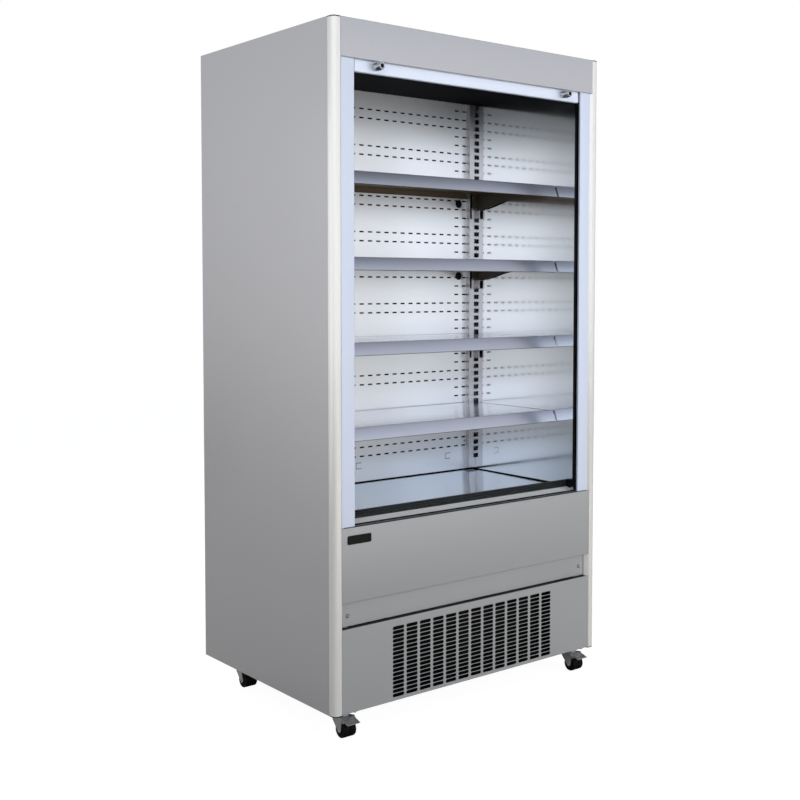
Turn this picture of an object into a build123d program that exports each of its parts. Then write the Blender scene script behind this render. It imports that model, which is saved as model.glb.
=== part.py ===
from build123d import *
import math
import os

os.makedirs("parts", exist_ok=True)

# An open multideck display fridge on casters. +Z is up, the open front faces -Y, and the
# origin is on the floor under the middle of the bounding box. Sizes are in millimetres.

# Driving sizes of the cabinet
body_width = 1000
body_depth = 690
overall_height = 1900
wheel_radius = 22
caster_head = 26  # from a wheel's top to the cabinet's underside
caster_height = 2 * wheel_radius + caster_head
knob_reach = 20  # the blind's knobs stand this far in front of the cabinet
side_wall = 60
rear_wall = 45
top_wall = 45
sheet = 1.0  # folded steel skins, liners and covers
seam = 0.5  # open line left between neighbouring front covers and the corner extrusions

# Worked out from them: the front plane's Y, and half the width outside and inside
front_y = -(body_depth + knob_reach) / 2 + knob_reach
body_height = overall_height - caster_height
half_width = body_width / 2
half_inside = half_width - side_wall

# Front face, from the floor of the body upwards
grille_bottom, grille_top = 3, 230
band_bottom, band_top = 233, 299
front_panel_top = 500
fascia_height = 102
fascia_bottom = body_height - fascia_height
corner_leg = 24
corner_radius = 10
corner_wall = 2
return_inset, return_depth = 34, 12  # where the corner's slanted inner leg ends
cap_thickness = 3

# Night blind: a spring roller behind the fascia, a film and a rail between two guides
strip_overlap = 12  # how far a guide strip reaches in past the liner's face
strip_inner_inset = side_wall + strip_overlap
strip_return = 4
channel_wall = 2
channel_back = 36.5
rib_reach, rib_depth, rib_thickness = 6, 24, 3
rib_bottom, rib_top = 504, body_height - 90
guide_top = body_height - 48
roller_depth, roller_height = 42, body_height - 58
roller_radius, roll_radius = 14, 23
side_gap = 4  # from the film's and the shelves' ends to the liners
film_half_width = half_inside - side_gap
film_thickness = 0.6
film_gap = 0.3  # between the film's back and the roll that it leaves
rail_bottom, rail_top = body_height - 134, body_height - 91
rail_depth, rail_thickness, rail_wall = 11.5, 12, 2
rail_half_width = half_inside - 17
tongue_half_width = half_inside - 2
tongue_thickness = 3
pin_radius = 4
running_gap = 0.05  # radial gap of a shaft in its bore
bracket_plate = 2

# Interior
air_panel_depth = 507
ceiling_front, ceiling_rear = body_height - 104, body_height - 80
outlet_bottom, outlet_top = body_height - 108, body_height - 88
outlet_wall_top = body_height - 30
outlet_front, outlet_rear = 68, 98
top_tray_front = 70
roll_cover_front = 28
upright_depth = 489.5
upright_width = 31.6
upright_sheet = 1.5
slot_pitch = 23.6
slot_width, slot_height = 8, 16
slot_inset = side_wall + 9
upright_top, upright_bottom = body_height - 83, 518
top_slot = body_height - 91.8
slot_count = int((top_slot - upright_bottom - slot_height / 2) / slot_pitch)
shelf_front, shelf_rear = 122.4, 500
shelf_half_width = half_inside - side_gap
shelf_count = 4
shelf_step = (slot_count - 1) // (shelf_count + 1)  # slots from one shelf to the next
first_shelf_slot = shelf_step + 2
lip_below_slot = 1.5
strip_height = 35.5
strip_fold = 4  # how far a shelf's price strip turns back at its lower edge
lip_height, lip_width = 4, 3
shelf_flange = 18
notch_gap = 2  # round an upright, at a shelf's rear corners
deck_height = 511
deck_lip = 523
sill_front_depth, sill_front_height = 26, 501
sill_rear_depth, sill_rear_height = 65, 508
return_grille_rear = 96
tub_bottom, tub_floor = 235, 275
tub_front, tub_wall_back = 27, 64
tub_fall = 4  # how far the tub's floor falls towards the rear, where it drains

# Cooling unit
fan_plate_depth = 150
evaporator_fan_inset, evaporator_fan_height = 300, 392
evaporator_fan_radius = 74
condenser_fan_height = 112
condenser_fan_radius = 88
condenser_front, condenser_rear = 40, 90
shroud_depth = 39
shaft_radius = 3

# Casters
caster_inset = side_wall - 2
wheel_width = 40
axle_radius = 3
trail = 14
front_pivot_depth, rear_pivot_depth = 44, 549
caster_plate_size, caster_plate_thickness = 60, 3
kingpin_radius = 5
pedal_pivot_ahead = 20  # the brake pedal's pin, ahead of the swivel axis
axle_height = wheel_radius - caster_height
fork_gap, fork_sheet = 4, 2
fork_top = axle_height + wheel_radius + fork_gap + fork_sheet
pedal_pivot_height = fork_top + 1


def y_at(depth):
    """Row Y of a depth measured back from the cabinet's front plane."""
    return front_y + depth


def z_at(height):
    """Row Z of a height measured up from the cabinet's underside."""
    return caster_height + height


def x_at(inset):
    """Row X of an inset measured in from the right side plane."""
    return half_width - inset


def slot_at(number):
    """Height of an upright's slot, counted down from the top."""
    return top_slot - number * slot_pitch


def save(name, built):
    """Label a finished piece and write it."""
    built.part.label = name
    export_step(built.part, f"parts/{name}.step")


def side_points(points):
    """Points of a section seen from the right: depth and height to row Y and Z."""
    return [(y_at(depth), z_at(height)) for depth, height in points]


def plan_points(side, points):
    """Points of a section seen from above, mirrored to one side of the cabinet."""
    return [(side * x_at(inset), y_at(depth)) for inset, depth in points]


def block(x_limits, y_limits, z_limits, mode=Mode.ADD):
    """A rectangular block of the part being built, between row limits."""
    with BuildSketch(Plane.XY.offset(z_limits[0])) as outline:
        with Locations((sum(x_limits) / 2, sum(y_limits) / 2)):
            Rectangle(abs(x_limits[1] - x_limits[0]), abs(y_limits[1] - y_limits[0]))
    extrude(outline.sketch, amount=z_limits[1] - z_limits[0], mode=mode)


def folded(points, half_length, side=Side.RIGHT, thickness=sheet):
    """A folded sheet that runs across the cabinet: an open section seen from the right."""
    with BuildSketch(Plane.YZ) as section:
        with BuildLine():
            Polyline(*side_points(points))
            offset(amount=thickness, side=side, kind=Kind.INTERSECTION)
        make_face()
    extrude(section.sketch, amount=half_length, both=True)


# Insulated side walls: an outer skin tray that a flat liner closes on the inside


def side_panel(side):
    """The outer skin of one side wall, a tray open towards the inside."""
    with BuildPart() as skin:
        block(
            sorted((side * (half_inside + sheet), side * half_width)),
            (y_at(corner_leg), y_at(body_depth)),
            (z_at(0), z_at(body_height)),
        )
        inner_face = skin.faces().sort_by(Axis.X)[0 if side > 0 else -1]
        offset(amount=-sheet, openings=inner_face)
    return skin


def side_liner(side):
    """The polished inner sheet of one side wall."""
    with BuildPart() as liner:
        block(
            sorted((side * half_inside, side * (half_inside + sheet))),
            (y_at(channel_back), y_at(body_depth)),
            (z_at(0), z_at(body_height)),
        )
    return liner


for side, word in ((-1, "left"), (1, "right")):
    save(f"{word}_side_panel", side_panel(side))
    save(f"{word}_liner", side_liner(side))

rear_liner_depth = body_depth - rear_wall
top_liner_height = body_height - top_wall

with BuildPart() as rear_panel:
    block(
        (-half_inside, half_inside),
        (y_at(rear_liner_depth + sheet), y_at(body_depth)),
        (z_at(tub_bottom), z_at(top_liner_height - sheet)),
    )
    offset(amount=-sheet, openings=rear_panel.faces().sort_by(Axis.Y)[0])
save("rear_panel", rear_panel)

with BuildPart() as rear_liner:
    block(
        (-half_inside, half_inside),
        (y_at(rear_liner_depth), y_at(rear_liner_depth + sheet)),
        (z_at(tub_bottom), z_at(top_liner_height - sheet)),
    )
save("rear_liner", rear_liner)

# The roof: an insulated tray whose skin runs on over the blind's roller to the fascia
with BuildPart() as top_panel:
    block(
        (-half_inside, half_inside),
        (y_at(top_tray_front), y_at(body_depth)),
        (z_at(top_liner_height), z_at(body_height)),
    )
    offset(amount=-sheet, openings=top_panel.faces().sort_by(Axis.Z)[0])
    block(
        (-half_inside, half_inside),
        (y_at(corner_leg), y_at(top_tray_front)),
        (z_at(body_height - sheet), z_at(body_height)),
    )
save("top_panel", top_panel)

with BuildPart() as top_liner:
    block(
        (-half_inside, half_inside),
        (y_at(top_tray_front), y_at(body_depth)),
        (z_at(top_liner_height - sheet), z_at(top_liner_height)),
    )
save("top_liner", top_liner)

# Foam that fills the side walls, the rear wall and the roof
with BuildPart() as wall_insulation:
    block(
        (half_inside + sheet, half_width - sheet),
        (y_at(corner_leg + sheet), y_at(body_depth - sheet)),
        (z_at(sheet), z_at(body_height - sheet)),
    )
    mirror(about=Plane.YZ)
    block(
        (sheet - half_inside, half_inside - sheet),
        (y_at(rear_liner_depth + sheet), y_at(body_depth - sheet)),
        (z_at(tub_bottom + sheet), z_at(top_liner_height - 2 * sheet)),
    )
    block(
        (sheet - half_inside, half_inside - sheet),
        (y_at(top_tray_front + sheet), y_at(body_depth - sheet)),
        (z_at(top_liner_height), z_at(body_height - sheet)),
    )
save("wall_insulation", wall_insulation)

# Front corners: rounded extrusions with a slanted inner leg, and black end caps


def corner_extrusion(side):
    """One front corner extrusion, a thin rounded angle with a slanted third leg."""
    with BuildPart() as extrusion:
        with BuildSketch(Plane.XY.offset(z_at(cap_thickness))):
            with BuildLine():
                side_leg, bend, front_leg, inner_leg = plan_points(
                    side,
                    ((0, corner_leg), (0, 0), (corner_leg, 0), (return_inset, return_depth)),
                )
                FilletPolyline(side_leg, bend, front_leg, radius=corner_radius)
                Line(front_leg, inner_leg)
                inward = Side.LEFT if side < 0 else Side.RIGHT
                offset(amount=corner_wall, side=inward, kind=Kind.INTERSECTION)
            make_face()
        extrude(amount=body_height - 2 * cap_thickness)
    return extrusion


for side, word in ((-1, "left"), (1, "right")):
    save(f"{word}_corner_extrusion", corner_extrusion(side))

with BuildPart() as corner_caps:
    for bottom in (0, body_height - cap_thickness):
        with BuildSketch(Plane.XY.offset(z_at(bottom))):
            with BuildLine():
                back, bend, front, inner, corner = plan_points(
                    1,
                    (
                        (0, corner_leg),
                        (0, 0),
                        (corner_leg, 0),
                        (return_inset, return_depth),
                        (return_inset, corner_leg),
                    ),
                )
                FilletPolyline(back, bend, front, radius=corner_radius)
                Polyline(front, inner, corner, back)
            make_face()
        extrude(amount=cap_thickness)
    mirror(about=Plane.YZ)
save("corner_caps", corner_caps)

# Front covers: folded sheets whose flanges turn back at the top and bottom
cover_half_width = half_width - corner_leg - 3 * seam
flange_half_width = half_width - return_inset - 2


def front_cover(bottom, top, bottom_flange, top_flange):
    """One front cover, between two heights, with flanges of the given depths."""
    with BuildPart() as cover:
        folded(
            ((bottom_flange, bottom), (0, bottom), (0, top), (top_flange, top)),
            cover_half_width,
        )
        for side in (-1, 1):
            block(
                sorted((side * flange_half_width, side * half_width)),
                (y_at(sheet), y_at(body_depth)),
                (z_at(0), z_at(body_height)),
                mode=Mode.SUBTRACT,
            )
    return cover


fascia_lip = 9
save("canopy_fascia", front_cover(fascia_bottom, body_height, fascia_lip, corner_leg))

band_depth = 16
front_panel = front_cover(band_top, front_panel_top, band_depth, corner_leg)
save("front_panel", front_panel)

screw_inset, screw_height = 54, 261
screw_radius, screw_head_radius, screw_head = 2, 4, 2.5
screw_hole_radius = 2.1
with BuildPart() as band_panel:
    with BuildSketch(Plane.XY.offset(z_at(band_bottom))):
        with BuildLine():
            Polyline(
                (-flange_half_width, y_at(corner_leg)),
                (-flange_half_width, y_at(band_depth)),
                (flange_half_width, y_at(band_depth)),
                (flange_half_width, y_at(corner_leg)),
            )
            offset(amount=sheet, side=Side.LEFT, kind=Kind.INTERSECTION)
        make_face()
    extrude(amount=band_top - band_bottom)
    with Locations(Plane.XZ.offset(-y_at(band_depth))):
        with Locations(
            (-x_at(screw_inset), z_at(screw_height)), (x_at(screw_inset), z_at(screw_height))
        ):
            Hole(screw_hole_radius)
save("band_panel", band_panel)

with BuildPart() as panel_screws:
    screw_tail = 23
    for radius, start, end in (
        (screw_head_radius, band_depth - screw_head, band_depth),
        (screw_radius, band_depth, screw_tail),
    ):
        with BuildSketch(Plane.XZ.offset(-y_at(start))):
            with Locations((x_at(screw_inset), z_at(screw_height))):
                Circle(radius)
        extrude(amount=start - end)
    mirror(about=Plane.YZ)
save("panel_screws", panel_screws)

# Lower grille: rows of slots for the condenser's air
grille_columns, grille_rows = 13, 17
grille_slot_length, grille_slot_height = 37.6, 8.4
column_pitch, row_pitch = 47.6, 11.65
grille_middle = 111.5
base_flange = 17
grille_panel = front_cover(grille_bottom, grille_top, base_flange, base_flange)
with grille_panel:
    with BuildSketch(Plane.XZ.offset(-y_at(sheet))) as grille_slots:
        with Locations((0, z_at(grille_middle))):
            with GridLocations(column_pitch, row_pitch, grille_columns, grille_rows):
                Rectangle(grille_slot_length, grille_slot_height)
    extrude(grille_slots.sketch, amount=sheet, mode=Mode.SUBTRACT)
save("grille_panel", grille_panel)

# Night blind guides: a steel strip on each side, over a black channel with a rib
channel_front = return_depth + sheet
channel_flange = 1.0
with BuildPart() as guide_strips:
    with BuildSketch(Plane.XY.offset(z_at(front_panel_top))):
        with BuildLine():
            Polyline(
                *plan_points(
                    1,
                    (
                        (return_inset + 0.2, return_depth),
                        (strip_inner_inset, return_depth),
                        (strip_inner_inset, return_depth + strip_return),
                    ),
                )
            )
            offset(amount=sheet, side=Side.RIGHT, kind=Kind.INTERSECTION)
        make_face()
    extrude(amount=guide_top - front_panel_top)
    mirror(about=Plane.YZ)
save("guide_strips", guide_strips)

with BuildPart() as guide_channels:
    with BuildSketch(Plane.XY.offset(z_at(front_panel_top))):
        Polygon(
            *plan_points(
                1,
                (
                    (return_inset, channel_front),
                    (side_wall, channel_front),
                    (side_wall, channel_back),
                    (side_wall - channel_flange, channel_back),
                    (side_wall - channel_flange, channel_front + channel_wall),
                    (return_inset, channel_front + channel_wall),
                ),
            ),
            align=None,
        )
    extrude(amount=guide_top - front_panel_top)
    block(
        (half_inside - rib_reach, half_inside),
        (y_at(rib_depth), y_at(rib_depth + rib_thickness)),
        (z_at(rib_bottom), z_at(rib_top)),
    )
    mirror(about=Plane.YZ)
save("guide_channels", guide_channels)

# The blind's spring roller, the film wound on it and the two plates that carry its pins
roller_plane = Plane.YZ.offset(-film_half_width)
roller_centre = (y_at(roller_depth), z_at(roller_height))
with BuildPart() as blind_roller:
    with BuildSketch(roller_plane):
        with Locations(roller_centre):
            Circle(roller_radius)
    extrude(amount=2 * film_half_width)
    pin_half_length = half_inside - 0.3
    with BuildSketch(Plane.YZ.offset(-pin_half_length)):
        with Locations(roller_centre):
            Circle(pin_radius)
    extrude(amount=2 * pin_half_length)
save("blind_roller", blind_roller)

with BuildPart() as blind_roll:
    with BuildSketch(roller_plane):
        with Locations(roller_centre):
            Circle(roll_radius)
            Circle(roller_radius, mode=Mode.SUBTRACT)
    extrude(amount=2 * film_half_width)
save("blind_roll", blind_roll)

with BuildPart() as roller_brackets:
    bracket_width, bracket_height = 28, 44
    with BuildSketch(Plane.YZ.offset(half_inside - bracket_plate)):
        with Locations(roller_centre):
            RectangleRounded(bracket_width, bracket_height, 6)
            Circle(pin_radius + running_gap, mode=Mode.SUBTRACT)
    extrude(amount=bracket_plate)
    mirror(about=Plane.YZ)
save("roller_brackets", roller_brackets)

film_back = roller_depth - roll_radius - film_gap
with BuildPart() as blind_film:
    block(
        (-film_half_width, film_half_width),
        (y_at(film_back - film_thickness), y_at(film_back)),
        (z_at(rail_top), z_at(roller_height)),
    )
save("blind_film", blind_film)

# The rail at the film's lower edge, a hollow extrusion with end plugs that run in the guides
with BuildPart() as blind_rail:
    rail_middle = (y_at(rail_depth + rail_thickness / 2), z_at((rail_bottom + rail_top) / 2))
    rail_height = rail_top - rail_bottom
    with BuildSketch(Plane.YZ.offset(-rail_half_width)):
        with Locations(rail_middle):
            RectangleRounded(rail_thickness, rail_height, 2)
            Rectangle(rail_thickness - 2 * rail_wall, rail_height - 2 * rail_wall, mode=Mode.SUBTRACT)
    extrude(amount=2 * rail_half_width)
    plug_depth = 20
    tongue_front = film_back - film_thickness / 2 - tongue_thickness / 2
    for side in (-1, 1):
        plug_limits = sorted((side * (rail_half_width - plug_depth), side * rail_half_width))
        block(
            plug_limits,
            (y_at(rail_depth + rail_wall), y_at(rail_depth + rail_thickness - rail_wall)),
            (z_at(rail_bottom + rail_wall), z_at(rail_top - rail_wall)),
        )
        block(
            sorted((side * rail_half_width, side * tongue_half_width)),
            (y_at(tongue_front), y_at(tongue_front + tongue_thickness)),
            (z_at(rail_bottom + 4), z_at(rail_top - 4)),
        )
save("blind_rail", blind_rail)

# The blind's two pull knobs, stepped cylinders with a recessed tip
with BuildPart() as blind_knobs:
    knob_inset, knob_height = 145, body_height - 116
    knob_radius, tip_radius, recess_radius = 11, 9.5, 5.75
    cone_length, tip_length, recess_depth = 6, 3, 4
    knob_x, knob_z = x_at(knob_inset), z_at(knob_height)
    knob_length = rail_depth + knob_reach
    with BuildSketch(Plane((knob_x, y_at(rail_depth), knob_z), x_dir=(1, 0, 0), z_dir=(0, 0, 1))):
        with BuildLine():
            Polyline(
                (0, 0),
                (knob_radius, 0),
                (knob_radius, tip_length + cone_length - knob_length),
                (tip_radius, tip_length - knob_length),
                (tip_radius, -knob_length),
                (recess_radius, -knob_length),
                (recess_radius, recess_depth - knob_length),
                (0, recess_depth - knob_length),
                close=True,
            )
        make_face()
    revolve(axis=Axis((knob_x, 0, knob_z), (0, 1, 0)))
    mirror(about=Plane.YZ)
save("blind_knobs", blind_knobs)

# The canopy's underside: a slotted air outlet with a lip under the roller, and the ceiling
with BuildPart() as air_outlet_grille:
    outlet_wall = top_tray_front - outlet_front
    with BuildSketch(Plane.YZ) as outlet_section:
        Polygon(
            *side_points(
                (
                    (roll_cover_front, outlet_bottom),
                    (outlet_rear, outlet_bottom),
                    (outlet_rear, outlet_top),
                    (outlet_front + outlet_wall, outlet_top),
                    (outlet_front + outlet_wall, outlet_wall_top),
                    (outlet_front, outlet_wall_top),
                    (outlet_front, outlet_bottom + sheet),
                    (roll_cover_front, outlet_bottom + sheet),
                )
            ),
            align=None,
        )
    extrude(amount=half_inside - bracket_plate, both=True)
    outlet_pitch, outlet_slot = 40, 32
    outlet_slots = int(2 * half_inside / outlet_pitch) - 1
    slot_middle = y_at((outlet_front + outlet_wall + outlet_rear) / 2)
    with BuildSketch(Plane.XY.offset(z_at(outlet_bottom))):
        with Locations((0, slot_middle)):
            with GridLocations(outlet_pitch, 1, outlet_slots, 1):
                Rectangle(outlet_slot, outlet_rear - outlet_front - outlet_wall - 6)
    extrude(amount=outlet_top - outlet_bottom, mode=Mode.SUBTRACT)
save("air_outlet_grille", air_outlet_grille)

with BuildPart() as ceiling_panel:
    folded(
        (
            (outlet_rear, outlet_top),
            (outlet_rear, ceiling_front),
            (air_panel_depth, ceiling_rear),
        ),
        half_inside,
        side=Side.LEFT,
    )
save("ceiling_panel", ceiling_panel)

with BuildPart() as rear_air_panel:
    air_panel_bottom = deck_height - 6
    block(
        (-half_inside, half_inside),
        (y_at(air_panel_depth), y_at(air_panel_depth + sheet)),
        (z_at(air_panel_bottom), z_at(ceiling_rear)),
    )
save("rear_air_panel", rear_air_panel)

# Slotted uprights that the shelf brackets hook into
with BuildPart() as uprights:
    with BuildSketch(Plane.XY.offset(z_at(upright_bottom))):
        with BuildLine():
            Polyline(
                *plan_points(
                    1,
                    (
                        (side_wall, air_panel_depth),
                        (side_wall, upright_depth),
                        (side_wall + upright_width, upright_depth),
                        (side_wall + upright_width, air_panel_depth),
                    ),
                )
            )
            offset(amount=upright_sheet, side=Side.RIGHT, kind=Kind.INTERSECTION)
        make_face()
    extrude(amount=upright_top - upright_bottom)
    with BuildSketch(Plane.XZ.offset(-y_at(upright_depth + upright_sheet))):
        for number in range(slot_count):
            with Locations((x_at(slot_inset), z_at(slot_at(number)))):
                Rectangle(slot_width, slot_height)
    extrude(amount=upright_sheet, mode=Mode.SUBTRACT)
    mirror(about=Plane.YZ)
save("uprights", uprights)

# Shelves: folded pans with a price strip in front, notched round the uprights
shelf_heights = [
    slot_at(first_shelf_slot + shelf_step * number) - lip_below_slot
    for number in range(shelf_count)
]


def shelf(lip):
    """One shelf, whose front lip ends at the given height."""
    surface = lip - lip_height
    with BuildPart() as pan:
        folded(
            (
                (shelf_rear, surface - shelf_flange),
                (shelf_rear, surface),
                (shelf_front + lip_width, surface),
                (shelf_front + lip_width, lip),
                (shelf_front, lip),
                (shelf_front, lip - strip_height),
                (shelf_front + strip_fold, lip - strip_height),
            ),
            shelf_half_width,
            side=Side.LEFT,
        )
        for side in (-1, 1):
            notch = sorted((side * (half_inside - upright_width - notch_gap), side * half_inside))
            block(
                notch,
                (y_at(upright_depth - notch_gap), y_at(shelf_rear + sheet)),
                (z_at(surface - shelf_flange), z_at(surface)),
                mode=Mode.SUBTRACT,
            )
            block(
                sorted((side * (shelf_half_width - sheet), side * shelf_half_width)),
                (y_at(shelf_front + strip_fold), y_at(upright_depth - notch_gap)),
                (z_at(surface - shelf_flange), z_at(surface - sheet)),
            )
    return pan


for number, lip in enumerate(shelf_heights, start=1):
    save(f"shelf_{number}", shelf(lip))

# Shelf brackets: cantilever arms with an S-curved underside, a front flange and two hooks
bracket_sheet = 2
arm_inset = slot_inset - bracket_sheet / 2
flange_inset = side_wall + 33
arm_front, arm_rear = 128, 480
tip_drop, foot_front, foot_drop = 34.5, 464, 88  # drops are below the shelf's lip
underside = ((315, -33.5), (388, -45), (457, -58))  # where the arm's S-curve bends
hook_slots = (1, 3)  # slots below the one beside the shelf's lip
hook_reach, hook_rise, hook_drop, hook_gap = 6, 9, 6, 0.2
flange_hole, flange_hole_edge, flange_hole_drop = 2.5, 12, 52
with BuildPart() as shelf_brackets:
    arm_plane = Plane.YZ.offset(x_at(arm_inset + bracket_sheet))
    for lip in shelf_heights:
        arm_top = lip - lip_height - sheet
        hook_front = upright_depth + upright_sheet + hook_gap
        with BuildSketch(arm_plane):
            with BuildLine():
                curve_start, curve_middle, curve_end = side_points(
                    [(depth, lip + height) for depth, height in underside]
                )
                foot, *edges = side_points(
                    (
                        (foot_front, lip - foot_drop),
                        (arm_rear, lip - foot_drop),
                        (arm_rear, arm_top),
                        (arm_front, arm_top),
                        (arm_front, lip - tip_drop),
                    )
                )
                Polyline(foot, *edges, curve_start)
                swell = TangentArc(curve_start, curve_middle, tangent=(1, 0))
                TangentArc(curve_middle, curve_end, tangent=swell % 1)
                Line(curve_end, foot)
            make_face()
            for number in hook_slots:
                rest = lip + lip_below_slot - number * slot_pitch - slot_height / 2
                Polygon(
                    *side_points(
                        (
                            (arm_rear, rest),
                            (arm_rear, rest + hook_rise),
                            (upright_depth + hook_reach, rest + hook_rise),
                            (upright_depth + hook_reach, rest - hook_drop),
                            (hook_front, rest - hook_drop),
                            (hook_front, rest),
                        )
                    ),
                    align=None,
                )
        extrude(amount=bracket_sheet)
        block(
            (x_at(flange_inset), x_at(arm_inset)),
            (y_at(arm_rear), y_at(arm_rear + bracket_sheet)),
            (z_at(lip - foot_drop), z_at(arm_top)),
        )
        with Locations(Plane.XZ.offset(-y_at(arm_rear))):
            with Locations((x_at(flange_inset - flange_hole_edge), z_at(lip - flange_hole_drop))):
                Hole(flange_hole, depth=2 * bracket_sheet)
    mirror(about=Plane.YZ)
save("shelf_brackets", shelf_brackets)

# Deck, return air grille and sill over the tub
with BuildPart() as deck_pan:
    folded(
        (
            (return_grille_rear + sheet, deck_lip),
            (return_grille_rear + sheet, deck_height),
            (air_panel_depth - sheet, deck_height),
            (air_panel_depth - sheet, deck_height + 5),
        ),
        half_inside,
        side=Side.RIGHT,
    )
save("deck_pan", deck_pan)

with BuildPart() as return_grille:
    grille_thickness = 3.5
    with BuildSketch(Plane.YZ) as strip_section:
        Polygon(
            *side_points(
                (
                    (sill_rear_depth, sill_rear_height),
                    (return_grille_rear, deck_lip),
                    (return_grille_rear, deck_lip - grille_thickness),
                    (sill_rear_depth, sill_rear_height - grille_thickness),
                )
            ),
            align=None,
        )
    extrude(amount=half_inside, both=True)
    strip_rise = deck_lip - sill_rear_height
    strip_run = return_grille_rear - sill_rear_depth
    strip_centre = (
        0,
        y_at((sill_rear_depth + return_grille_rear) / 2),
        z_at((sill_rear_height + deck_lip - grille_thickness) / 2),
    )
    return_pitch, return_slot = 40, 32
    with BuildSketch(Plane(strip_centre, x_dir=(1, 0, 0), z_dir=(0, -strip_rise, strip_run))):
        with GridLocations(return_pitch, 1, int(2 * half_inside / return_pitch) - 1, 1):
            Rectangle(return_slot, math.hypot(strip_rise, strip_run) - 10)
    extrude(amount=2 * grille_thickness, both=True, mode=Mode.SUBTRACT)
save("return_grille", return_grille)

with BuildPart() as sill_profile:
    folded(
        (
            (sill_front_depth, sill_front_height - 11),
            (sill_front_depth, sill_front_height),
            (sill_rear_depth, sill_rear_height),
            (sill_rear_depth, sill_rear_height - 24),
        ),
        half_inside,
    )
save("sill_profile", sill_profile)

# The insulated tub under the deck, an L that holds the evaporator and drains its water
with BuildPart() as tub:
    sill_clearance = 0.3
    with BuildSketch(Plane.YZ):
        with BuildLine():
            corner = side_points(((tub_wall_back, tub_floor),))[0]
            wall_top = side_points(
                (
                    (tub_front, sill_front_height - sheet - sill_clearance),
                    (tub_wall_back, sill_rear_height - sheet - 4 * sill_clearance),
                )
            )
            floor_back = side_points(((rear_liner_depth, tub_floor - tub_fall),))[0]
            under = side_points(((rear_liner_depth, tub_bottom), (tub_front, tub_bottom)))
            FilletPolyline(wall_top[1], corner, floor_back, radius=18)
            Polyline(floor_back, *under, *wall_top)
        make_face()
    extrude(amount=half_inside, both=True)
save("tub", tub)


# Fans: a hub with pressed blades, each an arc in section and trimmed to the tip circle


def fan(centre, hub_radius, tip_radius, length, blade_count):
    """One axial fan whose shaft hole runs along Y through its centre."""
    chord, camber, pitch, blade_thickness = 38, 4, 28, 2
    root_overlap = 3
    x, y, z = centre
    axis_plane = Plane((x, y, z), x_dir=(1, 0, 0), z_dir=(0, 1, 0))
    lean = math.radians(pitch)
    with BuildPart() as rotor:
        for number in range(blade_count):
            turn = 2 * math.pi * number / blade_count
            outward = Vector(math.cos(turn), 0, math.sin(turn))
            across = Vector(-math.sin(turn), 0, math.cos(turn))
            chord_line = across * math.cos(lean) + Vector(0, 1, 0) * math.sin(lean)
            root = Vector(x, y, z) + outward * (hub_radius - root_overlap)
            with BuildSketch(Plane(root, x_dir=chord_line, z_dir=outward)):
                with BuildLine():
                    SagittaArc((-chord / 2, 0), (chord / 2, 0), camber)
                    offset(amount=blade_thickness, side=Side.LEFT)
                make_face()
            extrude(amount=tip_radius - hub_radius + 2 * root_overlap)
        with BuildSketch(axis_plane.offset(-chord)):
            Circle(tip_radius)
        extrude(amount=2 * chord, mode=Mode.INTERSECT)
        with BuildSketch(axis_plane.offset(-length / 2)):
            Circle(hub_radius)
            Circle(shaft_radius + running_gap, mode=Mode.SUBTRACT)
        extrude(amount=length)
        with BuildSketch(axis_plane.offset(-length / 2)):
            Circle(shaft_radius + running_gap)
        extrude(amount=length, mode=Mode.SUBTRACT)
    return rotor


def fan_motor(x, z, plate_back, reach):
    """A shaded-pole motor on four arms behind a fan opening, added to the part being built."""
    standoff, motor_radius, motor_length = 22, 33, 42
    arm_width, arm_thickness = 8, 3
    arm_y = plate_back + standoff
    facing = Plane((x, y_at(arm_y), z), x_dir=(1, 0, 0), z_dir=(0, 1, 0))
    with BuildSketch(facing) as can:
        Circle(motor_radius)
    extrude(can.sketch, amount=motor_length)
    with BuildSketch(facing) as arms:
        Rectangle(2 * reach, arm_width)
        Rectangle(arm_width, 2 * reach)
    extrude(arms.sketch, amount=arm_thickness)
    with BuildSketch(facing) as legs:
        with PolarLocations(reach - arm_width / 2, 4):
            Rectangle(arm_width, arm_width)
    extrude(legs.sketch, amount=-standoff)
    with BuildSketch(facing) as shaft:
        Circle(shaft_radius)
    extrude(shaft.sketch, amount=-standoff - 12)


fan_length = 20
fan_gap = 7
evaporator_fan_x = x_at(evaporator_fan_inset)
evaporator_fan_z = z_at(evaporator_fan_height)
evaporator_opening = evaporator_fan_radius + fan_gap
condenser_fan_z = z_at(condenser_fan_height)
condenser_opening = condenser_fan_radius + fan_gap
shroud_back = condenser_rear + shroud_depth

with BuildPart() as fan_plate:
    folded(
        (
            (fan_plate_depth + 15, tub_floor),
            (fan_plate_depth, tub_floor),
            (fan_plate_depth, deck_height - sheet),
            (fan_plate_depth + 15, deck_height - sheet),
        ),
        half_inside,
    )
    with Locations(Plane.XZ.offset(-y_at(fan_plate_depth))):
        with Locations(
            (-evaporator_fan_x, evaporator_fan_z), (evaporator_fan_x, evaporator_fan_z)
        ):
            Hole(evaporator_opening, depth=3 * sheet)
save("fan_plate", fan_plate)

with BuildPart() as fan_motors:
    arm_overlap = 6
    for x in (-evaporator_fan_x, evaporator_fan_x):
        fan_motor(x, evaporator_fan_z, fan_plate_depth + sheet, evaporator_opening + arm_overlap)
    fan_motor(0, condenser_fan_z, shroud_back, condenser_opening + arm_overlap)
save("fan_motors", fan_motors)

for x, word in ((-evaporator_fan_x, "left"), (evaporator_fan_x, "right")):
    centre = (x, y_at(fan_plate_depth), evaporator_fan_z)
    save(f"evaporator_fan_{word}", fan(centre, 22, evaporator_fan_radius, fan_length, 5))
condenser_fan_centre = (0, y_at(shroud_back - sheet), condenser_fan_z)
save("condenser_fan", fan(condenser_fan_centre, 24, condenser_fan_radius, fan_length, 5))


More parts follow.
